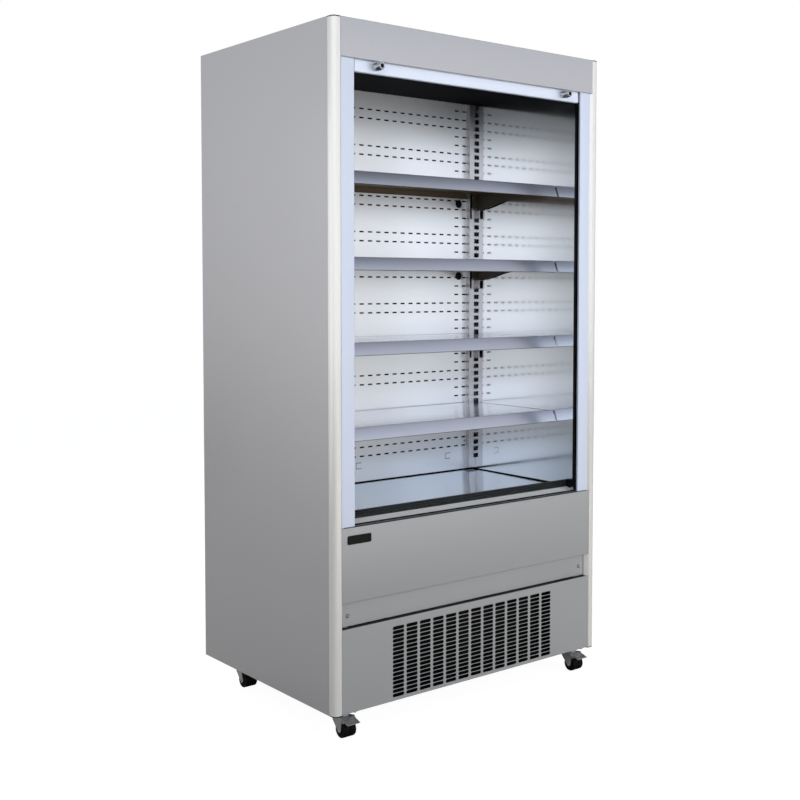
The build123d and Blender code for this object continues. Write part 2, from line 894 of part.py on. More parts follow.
evaporator_front, evaporator_rear = 250, 400
plate_lap = 3  # how far a coil's end plates stand past its fins, in front and behind
foot_gap = 0.3  # between the evaporator's end plates and the tub's floor
foot_slope = tub_fall / (rear_liner_depth - tub_wall_back)
evaporator_bottom = (
    tub_floor - foot_slope * (evaporator_front - plate_lap - tub_wall_back) + foot_gap
)


def coil(half_length, y_limits, z_limits, bend_rows):
    """A finned coil: a fin block between end plates, with return bends at both ends."""
    bend_radius, tube_radius, plate = 12, 5, 2
    depth_middle = sum(y_limits) / 2
    with BuildPart() as built:
        block((-half_length, half_length), y_limits, (z_limits[0] + 4, z_limits[1]))
        for side in (-1, 1):
            face = side * half_length
            block(
                sorted((face, face + side * plate)),
                (y_limits[0] - plate_lap, y_limits[1] + plate_lap),
                z_limits,
            )
            for row in range(bend_rows):
                height = z_limits[0] + (row + 0.5) * (z_limits[1] - z_limits[0]) / bend_rows
                start, end = face + side * plate, face + side * (plate + bend_radius)
                with BuildLine() as bend:
                    Polyline(
                        (start, depth_middle, height - bend_radius),
                        (end, depth_middle, height - bend_radius / 2),
                        (end, depth_middle, height + bend_radius / 2),
                        (start, depth_middle, height + bend_radius),
                    )
                with BuildSketch(Plane(bend.line @ 0, z_dir=bend.line % 0)) as tube_end:
                    RegularPolygon(tube_radius, 6)
                sweep(tube_end.sketch, path=bend.line, transition=Transition.RIGHT)
    return built


save(
    "evaporator_coil",
    coil(
        320,
        (y_at(evaporator_front), y_at(evaporator_rear)),
        (z_at(evaporator_bottom), z_at(deck_height - 20)),
        3,
    ),
)
save(
    "condenser_coil",
    coil(280, (y_at(condenser_front), y_at(condenser_rear)), (z_at(sheet), z_at(218)), 3),
)

with BuildPart() as condenser_shroud:
    block((-282, 282), (y_at(condenser_rear + 3), y_at(shroud_back)), (z_at(sheet), z_at(222)))
    offset(amount=-sheet, openings=condenser_shroud.faces().sort_by(Axis.Y)[0])
    with Locations(Plane.XZ.offset(-y_at(shroud_back))):
        with Locations((0, condenser_fan_z)):
            Hole(condenser_opening, depth=2 * sheet)
save("condenser_shroud", condenser_shroud)

# Floor of the machine space, the sealed compressor on it and the gland for the mains lead
with BuildPart() as base_tray:
    folded(
        ((base_flange, 25), (base_flange, 0), (body_depth - sheet, 0), (body_depth - sheet, 45)),
        half_inside,
        side=Side.LEFT,
    )
    gland_x, gland_z, gland_radius = 330, 26, 10
    with Locations(Plane.XZ.offset(-y_at(body_depth))):
        with Locations((gland_x, z_at(gland_z))):
            Hole(gland_radius, depth=3 * sheet)
save("base_tray", base_tray)

with BuildPart() as cable_gland:
    with BuildSketch(Plane.XZ.offset(-y_at(body_depth - sheet))):
        with Locations((gland_x, z_at(gland_z))):
            RegularPolygon(gland_radius + 3, 6)
            Circle(4, mode=Mode.SUBTRACT)
    extrude(amount=-sheet)
    with BuildSketch(Plane.XZ.offset(-y_at(body_depth - sheet))):
        with Locations((gland_x, z_at(gland_z))):
            Circle(gland_radius)
            Circle(4, mode=Mode.SUBTRACT)
    extrude(amount=6)
save("cable_gland", cable_gland)

with BuildPart() as compressor:
    compressor_x, compressor_y = -170, y_at(440)
    shell_radius, shell_bottom, shell_top = 82, 18, 200
    seam_height, seam_half, seam_reach = 96, 4, 5
    with BuildSketch(Plane((compressor_x, compressor_y, z_at(0)), x_dir=(1, 0, 0), z_dir=(0, -1, 0))):
        with BuildLine():
            Polyline(
                (0, shell_bottom),
                (shell_radius - 34, shell_bottom),
                (shell_radius - 12, shell_bottom + 10),
                (shell_radius, shell_bottom + 34),
                (shell_radius, seam_height - seam_half),
                (shell_radius + seam_reach, seam_height - seam_half),
                (shell_radius + seam_reach, seam_height + seam_half),
                (shell_radius, seam_height + seam_half),
                (shell_radius, shell_top - 45),
                (shell_radius - 16, shell_top - 20),
                (shell_radius - 44, shell_top - 5),
                (0, shell_top),
                close=True,
            )
        make_face()
    revolve(axis=Axis((compressor_x, compressor_y, 0), (0, 0, 1)))
    with BuildSketch(Plane.XY.offset(z_at(shell_bottom - 3))):
        with Locations((compressor_x, compressor_y)):
            RectangleRounded(220, 130, 12)
    extrude(amount=3.5)
    with BuildSketch(Plane.XY.offset(z_at(sheet))):
        with Locations((compressor_x, compressor_y)):
            with GridLocations(180, 94, 2, 2):
                Circle(12)
    extrude(amount=shell_bottom - 3 - sheet)
    block(
        (compressor_x + shell_radius - 6, compressor_x + shell_radius + 30),
        (compressor_y - 28, compressor_y + 28),
        (z_at(110), z_at(155)),
    )
save("compressor", compressor)

# Casters: a bolted plate, a pressed fork with its axle, a twin-tread wheel, a brake pedal


def caster_plate(x, pivot_y):
    """One mounting plate with four bolt heads, added to the part being built."""
    with BuildSketch(Plane.XY.offset(z_at(-caster_plate_thickness))) as plate:
        with Locations((x, pivot_y)):
            Rectangle(caster_plate_size, caster_plate_size)
            Circle(kingpin_radius + running_gap, mode=Mode.SUBTRACT)
    extrude(plate.sketch, amount=caster_plate_thickness)
    with BuildSketch(Plane.XY.offset(z_at(-caster_plate_thickness))) as bolts:
        with Locations((x, pivot_y)):
            with GridLocations(46, 46, 2, 2):
                RegularPolygon(4.6, 6)
    extrude(bolts.sketch, amount=-3.5)


def caster_fork(x, pivot_y, braked):
    """One swivelling fork: race cup, kingpin, top plate, two legs and the axle."""
    fork_inner, race_radius, race_gap = 21, 17, 0.3
    with BuildPart() as fork:
        with BuildSketch(Plane.XY.offset(z_at(fork_top))):
            with Locations((x, pivot_y)):
                Circle(race_radius)
        extrude(amount=-caster_plate_thickness - race_gap - fork_top)
        with BuildSketch(Plane.XY.offset(z_at(-caster_plate_thickness - race_gap))):
            with Locations((x, pivot_y)):
                Circle(kingpin_radius)
        extrude(amount=caster_plate_thickness)
        with BuildSketch(Plane.XY.offset(z_at(fork_top - fork_sheet))):
            with Locations((x, pivot_y + 1)):
                Rectangle(2 * (fork_inner + fork_sheet), 30)
        extrude(amount=fork_sheet)
        for side in (-1, 1):
            start = x + side * fork_inner if side > 0 else x + side * (fork_inner + fork_sheet)
            with BuildSketch(Plane.YZ.offset(start)):
                with BuildLine():
                    CenterArc((pivot_y - trail, z_at(axle_height)), 7, 0, 360)
                    CenterArc((pivot_y + 12, z_at(fork_top - 4)), 4, 0, 360)
                    if braked:
                        CenterArc((pivot_y - pedal_pivot_ahead, z_at(pedal_pivot_height)), 5, 0, 360)
                    else:
                        CenterArc((pivot_y - 10, z_at(fork_top - 4)), 4, 0, 360)
                make_hull()
                if braked:
                    with Locations((pivot_y - pedal_pivot_ahead, z_at(pedal_pivot_height))):
                        Circle(2 + running_gap, mode=Mode.SUBTRACT)
            extrude(amount=fork_sheet)
        half_axle = fork_inner + fork_sheet + 1.5
        with BuildSketch(Plane.YZ.offset(x - half_axle)):
            with Locations((pivot_y - trail, z_at(axle_height))):
                Circle(axle_radius)
        extrude(amount=2 * half_axle)
    return fork


def caster_wheel(x, pivot_y):
    """One twin-tread wheel, turned round its axle's line."""
    half, groove, groove_depth = wheel_width / 2, 2, 2
    bore = axle_radius + running_gap
    axis_y, axis_z = pivot_y - trail, z_at(axle_height)
    with BuildPart() as wheel:
        with BuildSketch(Plane((x, axis_y, axis_z), x_dir=(1, 0, 0), z_dir=(0, 1, 0))):
            with BuildLine():
                Polyline(
                    (0, bore),
                    (half, bore),
                    (half, wheel_radius),
                    (groove, wheel_radius),
                    (0, wheel_radius - groove_depth),
                    close=True,
                )
            make_face()
            mirror(about=Plane.YZ)
        revolve(axis=Axis((x, axis_y, axis_z), (1, 0, 0)))
    return wheel


def brake_pedal(x, pivot_y):
    """One brake pedal: a treadle that slopes down to the front, ears, shoe and pivot pin."""
    pin_y, pin_z = pivot_y - pedal_pivot_ahead, z_at(pedal_pivot_height)
    half, ear = 20, 2
    with BuildPart() as pedal:
        with BuildSketch(Plane.YZ.offset(x - half)):
            Polygon(
                (pin_y - 2, pin_z + 4),
                (pin_y - 29, pin_z - 5),
                (pin_y - 32, pin_z - 5),
                (pin_y - 31, pin_z - 8),
                (pin_y - 28, pin_z - 8),
                (pin_y - 2, pin_z + 1),
                align=None,
            )
        extrude(amount=2 * half)
        for start in (x - half, x + half - ear):
            with BuildSketch(Plane.YZ.offset(start)):
                with BuildLine():
                    CenterArc((pin_y, pin_z), 4, 0, 360)
                    CenterArc((pin_y - 8, pin_z - 7), 2, 0, 360)
                    CenterArc((pin_y - 14, pin_z - 1.5), 1, 0, 360)
                make_hull()
            extrude(amount=ear)
        with BuildSketch(Plane.YZ.offset(x - half)):
            with Locations((pin_y - 8, pin_z - 7)):
                Circle(2)
        extrude(amount=2 * half)
        with BuildSketch(Plane.YZ.offset(x - half - 3)):
            with Locations((pin_y, pin_z)):
                Circle(2)
        extrude(amount=2 * half + 6)
    return pedal


caster_x = x_at(caster_inset)
casters = {
    "front_left": (-caster_x, y_at(front_pivot_depth)),
    "front_right": (caster_x, y_at(front_pivot_depth)),
    "rear_left": (-caster_x, y_at(rear_pivot_depth)),
    "rear_right": (caster_x, y_at(rear_pivot_depth)),
}
with BuildPart() as caster_plates:
    for x, pivot_y in casters.values():
        caster_plate(x, pivot_y)
save("caster_plates", caster_plates)

for place, (x, pivot_y) in casters.items():
    braked = place.startswith("front")
    save(f"caster_fork_{place}", caster_fork(x, pivot_y, braked))
    save(f"caster_wheel_{place}", caster_wheel(x, pivot_y))
    if braked:
        save(f"brake_pedal_{place}", brake_pedal(x, pivot_y))
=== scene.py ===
import math

import bmesh
import bpy
import numpy as np
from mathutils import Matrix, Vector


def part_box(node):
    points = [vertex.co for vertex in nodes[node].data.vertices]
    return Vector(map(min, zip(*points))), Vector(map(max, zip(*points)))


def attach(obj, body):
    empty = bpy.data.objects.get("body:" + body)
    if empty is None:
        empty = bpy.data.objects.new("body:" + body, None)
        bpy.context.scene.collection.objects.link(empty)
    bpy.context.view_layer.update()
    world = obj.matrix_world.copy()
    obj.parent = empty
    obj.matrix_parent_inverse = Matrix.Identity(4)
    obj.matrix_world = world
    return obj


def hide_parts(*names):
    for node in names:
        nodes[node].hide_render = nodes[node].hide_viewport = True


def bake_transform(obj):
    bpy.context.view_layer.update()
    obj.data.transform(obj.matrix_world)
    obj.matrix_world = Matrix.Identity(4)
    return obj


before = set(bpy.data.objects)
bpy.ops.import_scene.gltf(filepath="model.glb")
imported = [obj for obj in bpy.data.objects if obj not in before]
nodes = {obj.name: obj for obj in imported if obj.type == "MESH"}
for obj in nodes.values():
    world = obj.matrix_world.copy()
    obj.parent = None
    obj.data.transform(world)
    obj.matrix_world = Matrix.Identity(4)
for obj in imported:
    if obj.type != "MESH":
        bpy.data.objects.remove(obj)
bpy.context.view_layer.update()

# Studio. The camera sees a white floor and surround. Metal mirrors a room instead: a brown
# ground, a bright band at eye level, a dark one above it, and the light stronger from one side.
# Lamps that would show as spots in polished sheet are kept out of its reflections.


def linear(colour):
    """An sRGB hex colour as linear red, green, blue and alpha."""
    channels = np.array([int(colour[start : start + 2], 16) for start in (1, 3, 5)]) / 255
    curve = ((channels + 0.055) / 1.055) ** 2.4
    return (*np.where(channels <= 0.04045, channels / 12.92, curve).tolist(), 1.0)


def add(tree, kind, sockets=None, links=None, **settings):
    """Adds a shader node with its settings, its sockets' values and what feeds its sockets."""
    node = tree.nodes.new("ShaderNode" + kind)
    for name, value in settings.items():
        setattr(node, name, value)
    for name, value in (sockets or {}).items():
        node.inputs[name].default_value = value
    for name, output in (links or {}).items():
        tree.links.new(output, node.inputs[name])
    return node


def material(name):
    """An empty material, its node tree and the place in metres that its patterns start from."""
    made = bpy.data.materials.new(name)
    made.use_nodes = True
    made.node_tree.nodes.clear()
    return made, made.node_tree, add(made.node_tree, "TexCoord").outputs["Object"]


scene = bpy.context.scene
scene.view_settings.view_transform = "Standard"

surround = bpy.data.worlds.new("surround")
surround.use_nodes = True
scene.world = surround
tree = surround.node_tree
tree.nodes.clear()
way = add(tree, "TexCoord").outputs["Generated"]
climb = add(tree, "SeparateXYZ", links={0: way}).outputs["Z"]
height = add(tree, "MapRange", {"From Min": -1.0}, {"Value": climb}).outputs[0]
room_stops = (
    (0.0, "#827e77"),
    (0.42, "#827e77"),
    (0.48, "#ffffff"),
    (0.70, "#eef1fa"),
    (0.75, "#d8dce8"),
    (0.79, "#8f9299"),
    (0.815, "#4c4e52"),
    (0.9, "#6c6e73"),
    (1.0, "#8d9098"),
)
lit_from, shaded, lit, lift = (-0.78, -0.62, 0), 0.2, 1.6, 0.07
towards_light = add(
    tree, "VectorMath", {1: lit_from}, {0: way}, operation="DOT_PRODUCT"
).outputs["Value"]
brightness = add(
    tree,
    "MapRange",
    {"From Min": -1.0, "To Min": shaded, "To Max": lit},
    {"Value": towards_light},
).outputs[0]
lifted_height = add(
    tree, "Math", {1: lift}, {0: towards_light, 2: height}, operation="MULTIPLY_ADD"
).outputs[0]
room_colour = add(tree, "ValToRGB", links={0: lifted_height})
stops = room_colour.color_ramp.elements
while len(stops) < len(room_stops):
    stops.new(0.5)
for stop, (place, colour) in zip(stops, room_stops):
    stop.position = place
    stop.color = linear(colour)
room = add(tree, "Background", links={"Color": room_colour.outputs[0], "Strength": brightness})
white = add(tree, "Background", {"Color": (1, 1, 1, 1), "Strength": 1.0})
seen = add(tree, "LightPath").outputs["Is Camera Ray"]
choice = add(tree, "MixShader", links={0: seen, 1: room.outputs[0], 2: white.outputs[0]})
add(tree, "OutputWorld", links={"Surface": choice.outputs[0]})


def quads(rows, columns, wrap=False):
    """Faces of a grid of points, row after row; wrap joins each row's end to its start."""
    index = np.arange(rows * columns).reshape(rows, columns)
    if wrap:
        index = np.hstack((index, index[:, :1]))
    corners = (index[:-1, :-1], index[:-1, 1:], index[1:, 1:], index[1:, :-1])
    return np.stack(corners, -1).reshape(-1, 4)


floor_half, floor_points = 9.0, 13
ground = np.stack(np.meshgrid(*[np.linspace(-floor_half, floor_half, floor_points)] * 2), -1)
floor_mesh = bpy.data.meshes.new("studio_floor")
floor_mesh.from_pydata(
    np.insert(ground.reshape(-1, 2), 2, 0, axis=1).tolist(),
    [],
    quads(floor_points, floor_points).tolist(),
)
studio_floor = bpy.data.objects.new("studio_floor", floor_mesh)
scene.collection.objects.link(studio_floor)

# Studio paper, matt. It is lit a little from within for the camera, and light that bounces off
# it comes back brown.
paper, tree, _ = material("white_paper_floor")
brown_ground = add(tree, "BsdfDiffuse", {"Color": linear("#a39e96")})
matt_paper = add(tree, "BsdfDiffuse", {"Color": linear("#f4f4f4")})
lit_paper = add(tree, "Emission", {"Color": (1, 1, 1, 1), "Strength": 1.12})
glow = 0.85
lifted = add(tree, "MixShader", {0: glow}, {1: matt_paper.outputs[0], 2: lit_paper.outputs[0]})
seen = add(tree, "LightPath").outputs["Is Camera Ray"]
choice = add(tree, "MixShader", links={0: seen, 1: brown_ground.outputs[0], 2: lifted.outputs[0]})
add(tree, "OutputMaterial", links={"Surface": choice.outputs[0]})
floor_mesh.materials.append(paper)

for name, place, target, width, watts, mirrored in (
    ("key_lamp", (-3.2, -3.2, 2.6), (0, 0, 1.3), 2.2, 36, False),
    ("front_lamp", (1.9, -4.2, 1.1), (0, 0, 0.8), 2.4, 125, False),
    ("side_lamp", (-3.8, 2.0, 0.8), (-0.5, -0.3, 0.5), 3.0, 22, True),
    ("rear_lamp", (1.5, 3.8, 3.0), (0, 0, 0.9), 2.4, 130, True),
    ("inner_fill", (0.0, -0.3, 1.25), (0, 0.3, 1.25), 0.84, 7, False),
):
    softbox = bpy.data.lights.new(name, "AREA")
    softbox.size = width
    softbox.energy = watts
    lamp = bpy.data.objects.new(name, softbox)
    lamp.visible_camera = False
    lamp.visible_glossy = mirrored
    way = np.array(target, float) - place
    pitch = math.atan2(math.hypot(way[0], way[1]), -way[2])
    lamp.location = place
    lamp.rotation_euler = (pitch, 0, math.atan2(way[1], way[0]) - math.pi / 2)
    scene.collection.objects.link(lamp)

# The camera's place, turn and lens come from fitting the cabinet's edges to the photograph.
camera_data = bpy.data.cameras.new("camera")
camera_data.lens = 52.429
camera_data.sensor_width = 36
camera_data.shift_y = -0.0675
camera = bpy.data.objects.new("camera", camera_data)
camera.location = (-2.2364, -2.8006, 1.2044)
camera.rotation_euler = (math.radians(90 - 2.8959), 0, math.radians(-38.4234))
scene.collection.objects.link(camera)
scene.camera = camera

# Side walls. Each is a steel skin with a silver-grey baked coat, folded at its edges and filled
# with foam. Metal flake in the coat gives it a soft sheen that fades across the panel.


def pattern(tree, place, size, detail=2.0, rough=0.6, narrowed=(1, 1, 1)):
    """Noise from 0 to 1 in patches of about a size in metres, narrowed along each axis."""
    laid = add(tree, "Mapping", {"Scale": narrowed}, {"Vector": place}).outputs[0]
    return add(
        tree,
        "TexNoise",
        {"Scale": 1 / size, "Detail": detail, "Roughness": rough},
        {"Vector": laid},
    ).outputs[0]


def surface(tree, numbers, tint=None, polish=None, relief=None, height=0.0002, strength=0.1):
    """The material's main shader. tint is a share and the two hex colours that it runs between,
    and polish a share and two roughnesses. A relief gives it a bump of a height in metres."""
    links = {}
    if tint:
        share, first, second = tint
        colours = {6: linear(first), 7: linear(second)}
        links["Base Color"] = add(tree, "Mix", colours, {0: share}, data_type="RGBA").outputs[2]
    if polish:
        share, low, high = polish
        ends = {"To Min": low, "To Max": high}
        links["Roughness"] = add(tree, "MapRange", ends, {"Value": share}).outputs[0]
    if relief is not None:
        links["Normal"] = add(
            tree, "Bump", {"Strength": strength, "Distance": height}, {"Height": relief}
        ).outputs[0]
    shader = add(tree, "BsdfPrincipled", numbers, links)
    add(tree, "OutputMaterial", links={"Surface": shader.outputs[0]})


def coated(name, light, dark, sheen, roughness, gloss=0.5):
    """A baked coat: flake moves its colour, and slow patches its roughness. Real flake is about
    0.05 mm, too fine to show, so it is drawn at 1.2 mm."""
    flake, patch_size = 0.0012, 1 / 3
    made, tree, place = material(name)
    grain = pattern(tree, place, flake)
    patch = pattern(tree, place, patch_size)
    surface(
        tree,
        {"Metallic": sheen, "IOR": 1.5, "Specular IOR Level": gloss},
        tint=(grain, dark, light),
        polish=(patch, roughness - 0.04, roughness + 0.04),
        relief=grain,
        strength=0.04,
    )
    return made


def dress(finish, *names):
    """Gives CAD nodes their finish."""
    for name in names:
        for slot in nodes[name].material_slots:
            slot.material = finish


side_coat = coated("silver_grey_baked_coat", "#bdbdbf", "#b0b0b2", 0.45, 0.36)
dress(side_coat, "left_side_panel", "right_side_panel")

# Inner walls. Bright-polished stainless sheet, folded into the skins. Near things mirror sharply
# in it and far ones blur, because rolling left fine marks along the sheet.


def polished(name, colour, roughness, narrowed=(1, 1, 14), mark=0.0455, metal=1.0, tilt=0.02):
    """Rolled or turned metal: marks of a length in metres, narrowed across, move its roughness
    and tilt its surface a little. Real marks are under 0.5 mm wide, too fine to show, so these
    are drawn several millimetres wide."""
    made, tree, place = material(name)
    marks = pattern(tree, place, mark, 4.0, 0.65, narrowed)
    surface(
        tree,
        {"Base Color": linear(colour), "Metallic": metal},
        polish=(marks, roughness - 0.03, roughness + 0.05),
        relief=marks,
        strength=tilt,
    )
    return made


inner_steel = polished("bright_polished_stainless", "#e9ecef", 0.09, (1, 1, 3), 0.143, tilt=0.006)
dress(inner_steel, "left_liner", "right_liner", "top_liner")

# Rear skin, roof and the sheets round the fans. Hot-dip galvanised steel, folded and riveted. It
# shows spangle, the flat crystals of zinc, each a slightly different grey.


def galvanised(name, light, dark, roughness):
    """Zinc spangle: cells of 11 mm, each with a random tone that also moves its roughness."""
    crystal = 0.011
    made, tree, place = material(name)
    cells = add(
        tree, "TexVoronoi", {"Scale": 1 / crystal, "Randomness": 1.0}, {"Vector": place}
    ).outputs["Color"]
    tone = add(tree, "SeparateColor", links={0: cells}).outputs[0]
    surface(
        tree,
        {"Metallic": 0.95},
        tint=(tone, dark, light),
        polish=(tone, roughness, roughness + 0.05),
    )
    return made


zinc_sheet = galvanised("spangled_galvanised_steel", "#c6cacd", "#babec1", 0.4)
dress(zinc_sheet, "rear_panel", "top_panel", "fan_plate", "condenser_shroud")

# Dark pieces round the opening and in the machine space. The ceiling, base tray and rear liner
# are coated steel, the outlet and guide channels moulded plastic, and the tub a plastic shell.
# All are matt. The base tray, rear liner and tub are near black as painted shade, so that what
# lies behind the bright sheets' slots and holes stays dark.


def moulded(name, colour, roughness, grit=0.0024, relief=0.12, gloss=0.5):
    """Moulded plastic or rubber. Its eroded grain is a grit in metres wide, coarser than the
    real 0.1 mm so that it shows."""
    made, tree, place = material(name)
    grain = pattern(tree, place, grit, 3.0, 0.7)
    surface(
        tree,
        {"Base Color": linear(colour), "IOR": 1.49, "Specular IOR Level": gloss},
        polish=(grain, roughness - 0.06, roughness + 0.06),
        relief=grain,
        strength=relief,
    )
    return made


black_coat_and_shade = coated("black_matt_coat_and_painted_shade", "#0c0c0e", "#070708", 0.0, 0.85, gloss=0.08)
black_plastic = moulded("black_moulded_abs", "#0a0a0b", 0.5, gloss=0.2)
foam = moulded("cream_polyurethane_foam", "#d9cfa8", 0.9, 0.008, 0.5)
tub_shade_plastic = moulded("polystyrene_painted_shade", "#1d1f20", 0.6, gloss=0.2)
# The black of the base tray and rear liner and the tub's dark grey are painted shade behind the
# slots and holes; the ceiling's black is its own colour.
dress(black_coat_and_shade, "ceiling_panel", "base_tray", "rear_liner")
dress(black_plastic, "air_outlet_grille", "guide_channels", "cable_gland")
dress(foam, "wall_insulation")
dress(tub_shade_plastic, "tub")

# Corner profiles. Extruded aluminium, rounded at the cabinet's corner, with a slanted leg beside
# the front covers and black moulded caps pressed on its ends. A satin cream-white coat makes it
# the brightest line of the front.

front_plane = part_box("front_panel")[0].y
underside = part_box("left_side_panel")[0].z


def to_frame(points):
    """Millimetres across from the middle, back from the front and up, as metres in the frame."""
    return np.asarray(points, float) / 1000 + (0, front_plane, underside)


def piece(name, parts, finish, body="cabinet", stands_for=()):
    """Makes a piece from parts, each some points in millimetres and blocks of their faces.
    Points that meet are merged, and edges that turn by more than 32 degrees stay sharp."""
    merged, crease = 2e-6, math.radians(32)
    points, faces, count = [], [], 0
    for part_points, part_faces in parts:
        points.append(to_frame(part_points))
        for block in part_faces:
            faces.extend((block + count).tolist())
        count += len(part_points)
    mesh = bpy.data.meshes.new(name)
    mesh.from_pydata(np.vstack(points).tolist(), [], faces)
    joined = bmesh.new()
    joined.from_mesh(mesh)
    bmesh.ops.remove_doubles(joined, verts=joined.verts, dist=merged)
    bmesh.ops.recalc_face_normals(joined, faces=joined.faces)
    joined.to_mesh(mesh)
    joined.free()
    mesh.polygons.foreach_set("use_smooth", np.ones(len(mesh.polygons), bool))
    mesh.set_sharp_from_angle(angle=crease)
    mesh.materials.append(finish)
    made = bpy.data.objects.new(name, mesh)
    scene.collection.objects.link(made)
    if body:
        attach(made, body)
    if stands_for:
        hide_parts(*stands_for)
    return made


def rounded(points, radius, steps=5):
    """A line whose inner corners become arcs that touch both runs. An arc's points turn evenly
    from one touching point to the other about the arc's centre."""
    points = np.asarray(points, float)
    corner, back, on = points[1:-1], points[:-2] - points[1:-1], points[2:] - points[1:-1]
    radius = np.broadcast_to(radius, len(corner))[:, None]
    back = back / np.linalg.norm(back, axis=1, keepdims=True)
    on = on / np.linalg.norm(on, axis=1, keepdims=True)
    half = np.arccos(np.clip((back * on).sum(1, keepdims=True), -1, 1)) / 2
    middle = (back + on) / np.linalg.norm(back + on, axis=1, keepdims=True)
    out = middle * radius / np.sin(half)
    start, end = back * radius / np.tan(half) - out, on * radius / np.tan(half) - out
    turn = (math.pi - 2 * half)[:, None]
    share = np.linspace(0, 1, steps + 1)[None, :, None]
    arc = np.sin((1 - share) * turn) * start[:, None] + np.sin(share * turn) * end[:, None]
    arcs = (corner + out)[:, None] + arc / np.sin(turn)
    return np.vstack((points[:1], arcs.reshape(-1, points.shape[1]), points[-1:]))


def beside(line, distance, closed=False):
    """A line moved to its left by a distance, along the mean normal of the runs that meet."""
    run = np.diff(np.vstack((line, line[:1])) if closed else line, axis=0)
    run = run / np.linalg.norm(run, axis=1, keepdims=True)
    normal = np.stack((-run[:, 1], run[:, 0]), 1)
    if closed:
        mean = normal + np.roll(normal, 1, 0)
    else:
        mean = np.vstack((normal[:1], normal)) + np.vstack((normal, normal[-1:]))
    return line + 2 * distance * mean / (mean**2).sum(1, keepdims=True)


def drawn(section, stations, along):
    """A section placed at each station: along x it holds depth and height, along z across and
    depth, and along y across and height."""
    first, second, third = {"x": (1, 2, 0), "z": (0, 1, 2), "y": (0, 2, 1)}[along]
    grid = np.empty((len(stations), len(section), 3))
    grid[..., first] = section[:, 0]
    grid[..., second] = section[:, 1]
    grid[..., third] = np.asarray(stations, float)[:, None]
    return grid


def folded(line, thickness, stations, along="x", keep=None, joins=()):
    """A sheet folded along a line. Its second surface lies to the line's left by the thickness,
    keep says which cells of the sheet there are, and every edge of these has its wall, apart
    from the ends of the line (0 or -1) where the sheet joins another."""
    columns, rows = len(line), len(stations)
    first = drawn(line, stations, along).reshape(-1, 3)
    second = drawn(beside(line, thickness), stations, along).reshape(-1, 3)
    cells = quads(rows, columns)
    if keep is not None:
        cells = cells[keep.reshape(-1)]
    edges = np.stack((cells, np.roll(cells, -1, 1)), -1).reshape(-1, 2)
    _, where, times = np.unique(np.sort(edges, 1), axis=0, return_index=True, return_counts=True)
    rim = edges[where[times == 1]]
    for end in joins:
        rim = rim[~(rim % columns == end % columns).all(1)]
    walls = np.hstack((rim, rim[:, ::-1] + len(first)))
    return np.vstack((first, second)), [cells, cells + len(first), walls]


def prism(outline, start, end, along="x", ease=0.0):
    """A closed outline drawn out from start to end, with its end edges eased by a chamfer."""
    outline = np.asarray(outline, float)
    following = np.roll(outline, -1, 0)
    area = (outline[:, 0] * following[:, 1] - outline[:, 1] * following[:, 0]).sum()
    stations, insets = [start, end], [0, 0]
    if ease:
        lean = math.copysign(ease, end - start)
        stations, insets = [start, start + lean, end - lean, end], [ease, 0, 0, ease]
    grid = np.vstack(
        [
            drawn(beside(outline, math.copysign(inset, area), True), (station,), along)[0]
            for station, inset in zip(stations, insets)
        ]
    )
    count = len(outline)
    cap = np.arange(count)[None]
    return grid, [quads(len(stations), count, True), cap, cap + len(grid) - count]


def both_sides(*parts):
    """Parts and their mirror images on the cabinet's other side."""
    return [*parts, *[(points * (-1, 1, 1), faces) for points, faces in parts]]


body_half, body_height, corner_radius = 500.0, 1830.0, 12
corner_leg, leg_start, leg_end, corner_wall, cap_height = 24.0, -476.0, -466.0, 2.0, 3.0
corner_ends = ((-body_half, corner_leg), (-body_half, 0), (leg_start, 0))
corner_line = np.vstack(
    (
        rounded(corner_ends, corner_radius, 12)[:-1],
        rounded(((-488, 0), (leg_start, 0), (leg_end, 12), (leg_end, 16.5)), 2, 3)[1:],
    )
)
cream_coat = coated("cream_white_satin_coat", "#e6e5e1", "#dededb", 0.4, 0.24)
profile = folded(corner_line, corner_wall, (cap_height, body_height - cap_height), "z")
for name, side in (("left", 1), ("right", -1)):
    piece(
        f"{name}_corner_profile",
        [(profile[0] * (side, 1, 1), profile[1])],
        cream_coat,
        stands_for=(f"{name}_corner_extrusion",),
    )
cap_outline = np.vstack((corner_line[:-1], ((leg_end, corner_leg),)))
caps = [
    part
    for start, end in ((0, cap_height), (body_height, body_height - cap_height))
    for part in both_sides(prism(cap_outline, start, end, "z", 0.4))
]
piece("corner_end_caps", caps, black_plastic, stands_for=("corner_caps",))

# Canopy cover and lower covers. Steel sheets folded back along the top and bottom; the flanges
# stop short of the corner profiles' legs. The band lies deeper and folds back at its ends. Their
# grey baked coat is satin; the canopy's is painted a shade lighter, as painted light from above.

cover_half, flange_half = 475.1, 464.0
front_bottom, front_top, canopy_bottom = 299, 500, 1728
grey_coat = coated("grey_baked_coat", "#a9abac", "#9fa1a2", 0.4, 0.4)
# The canopy's grey, painted a shade lighter as painted light from above.
canopy_painted_light_coat = coated("grey_coat_painted_lighter", "#babbc0", "#b0b1b6", 0.4, 0.4)


def cover(name, bottom, top, bottom_flange, finish, stands_for):
    """A front cover folded from flange to flange, with rounded folds."""
    ends = ((bottom_flange, bottom), (0, bottom), (0, top), (corner_leg, top))
    line = rounded(ends, 2.0)
    keep = np.ones((3, len(line) - 1), bool)
    keep[::2, [0, -1]] = False
    sheet = folded(line, -1.0, (-cover_half, -flange_half, flange_half, cover_half), keep=keep)
    piece(name, [sheet], finish, stands_for=(stands_for,))


cover("canopy_cover", canopy_bottom, body_height, 9, canopy_painted_light_coat, "canopy_fascia")
cover("front_cover", front_bottom, front_top, 16, grey_coat, "front_panel")

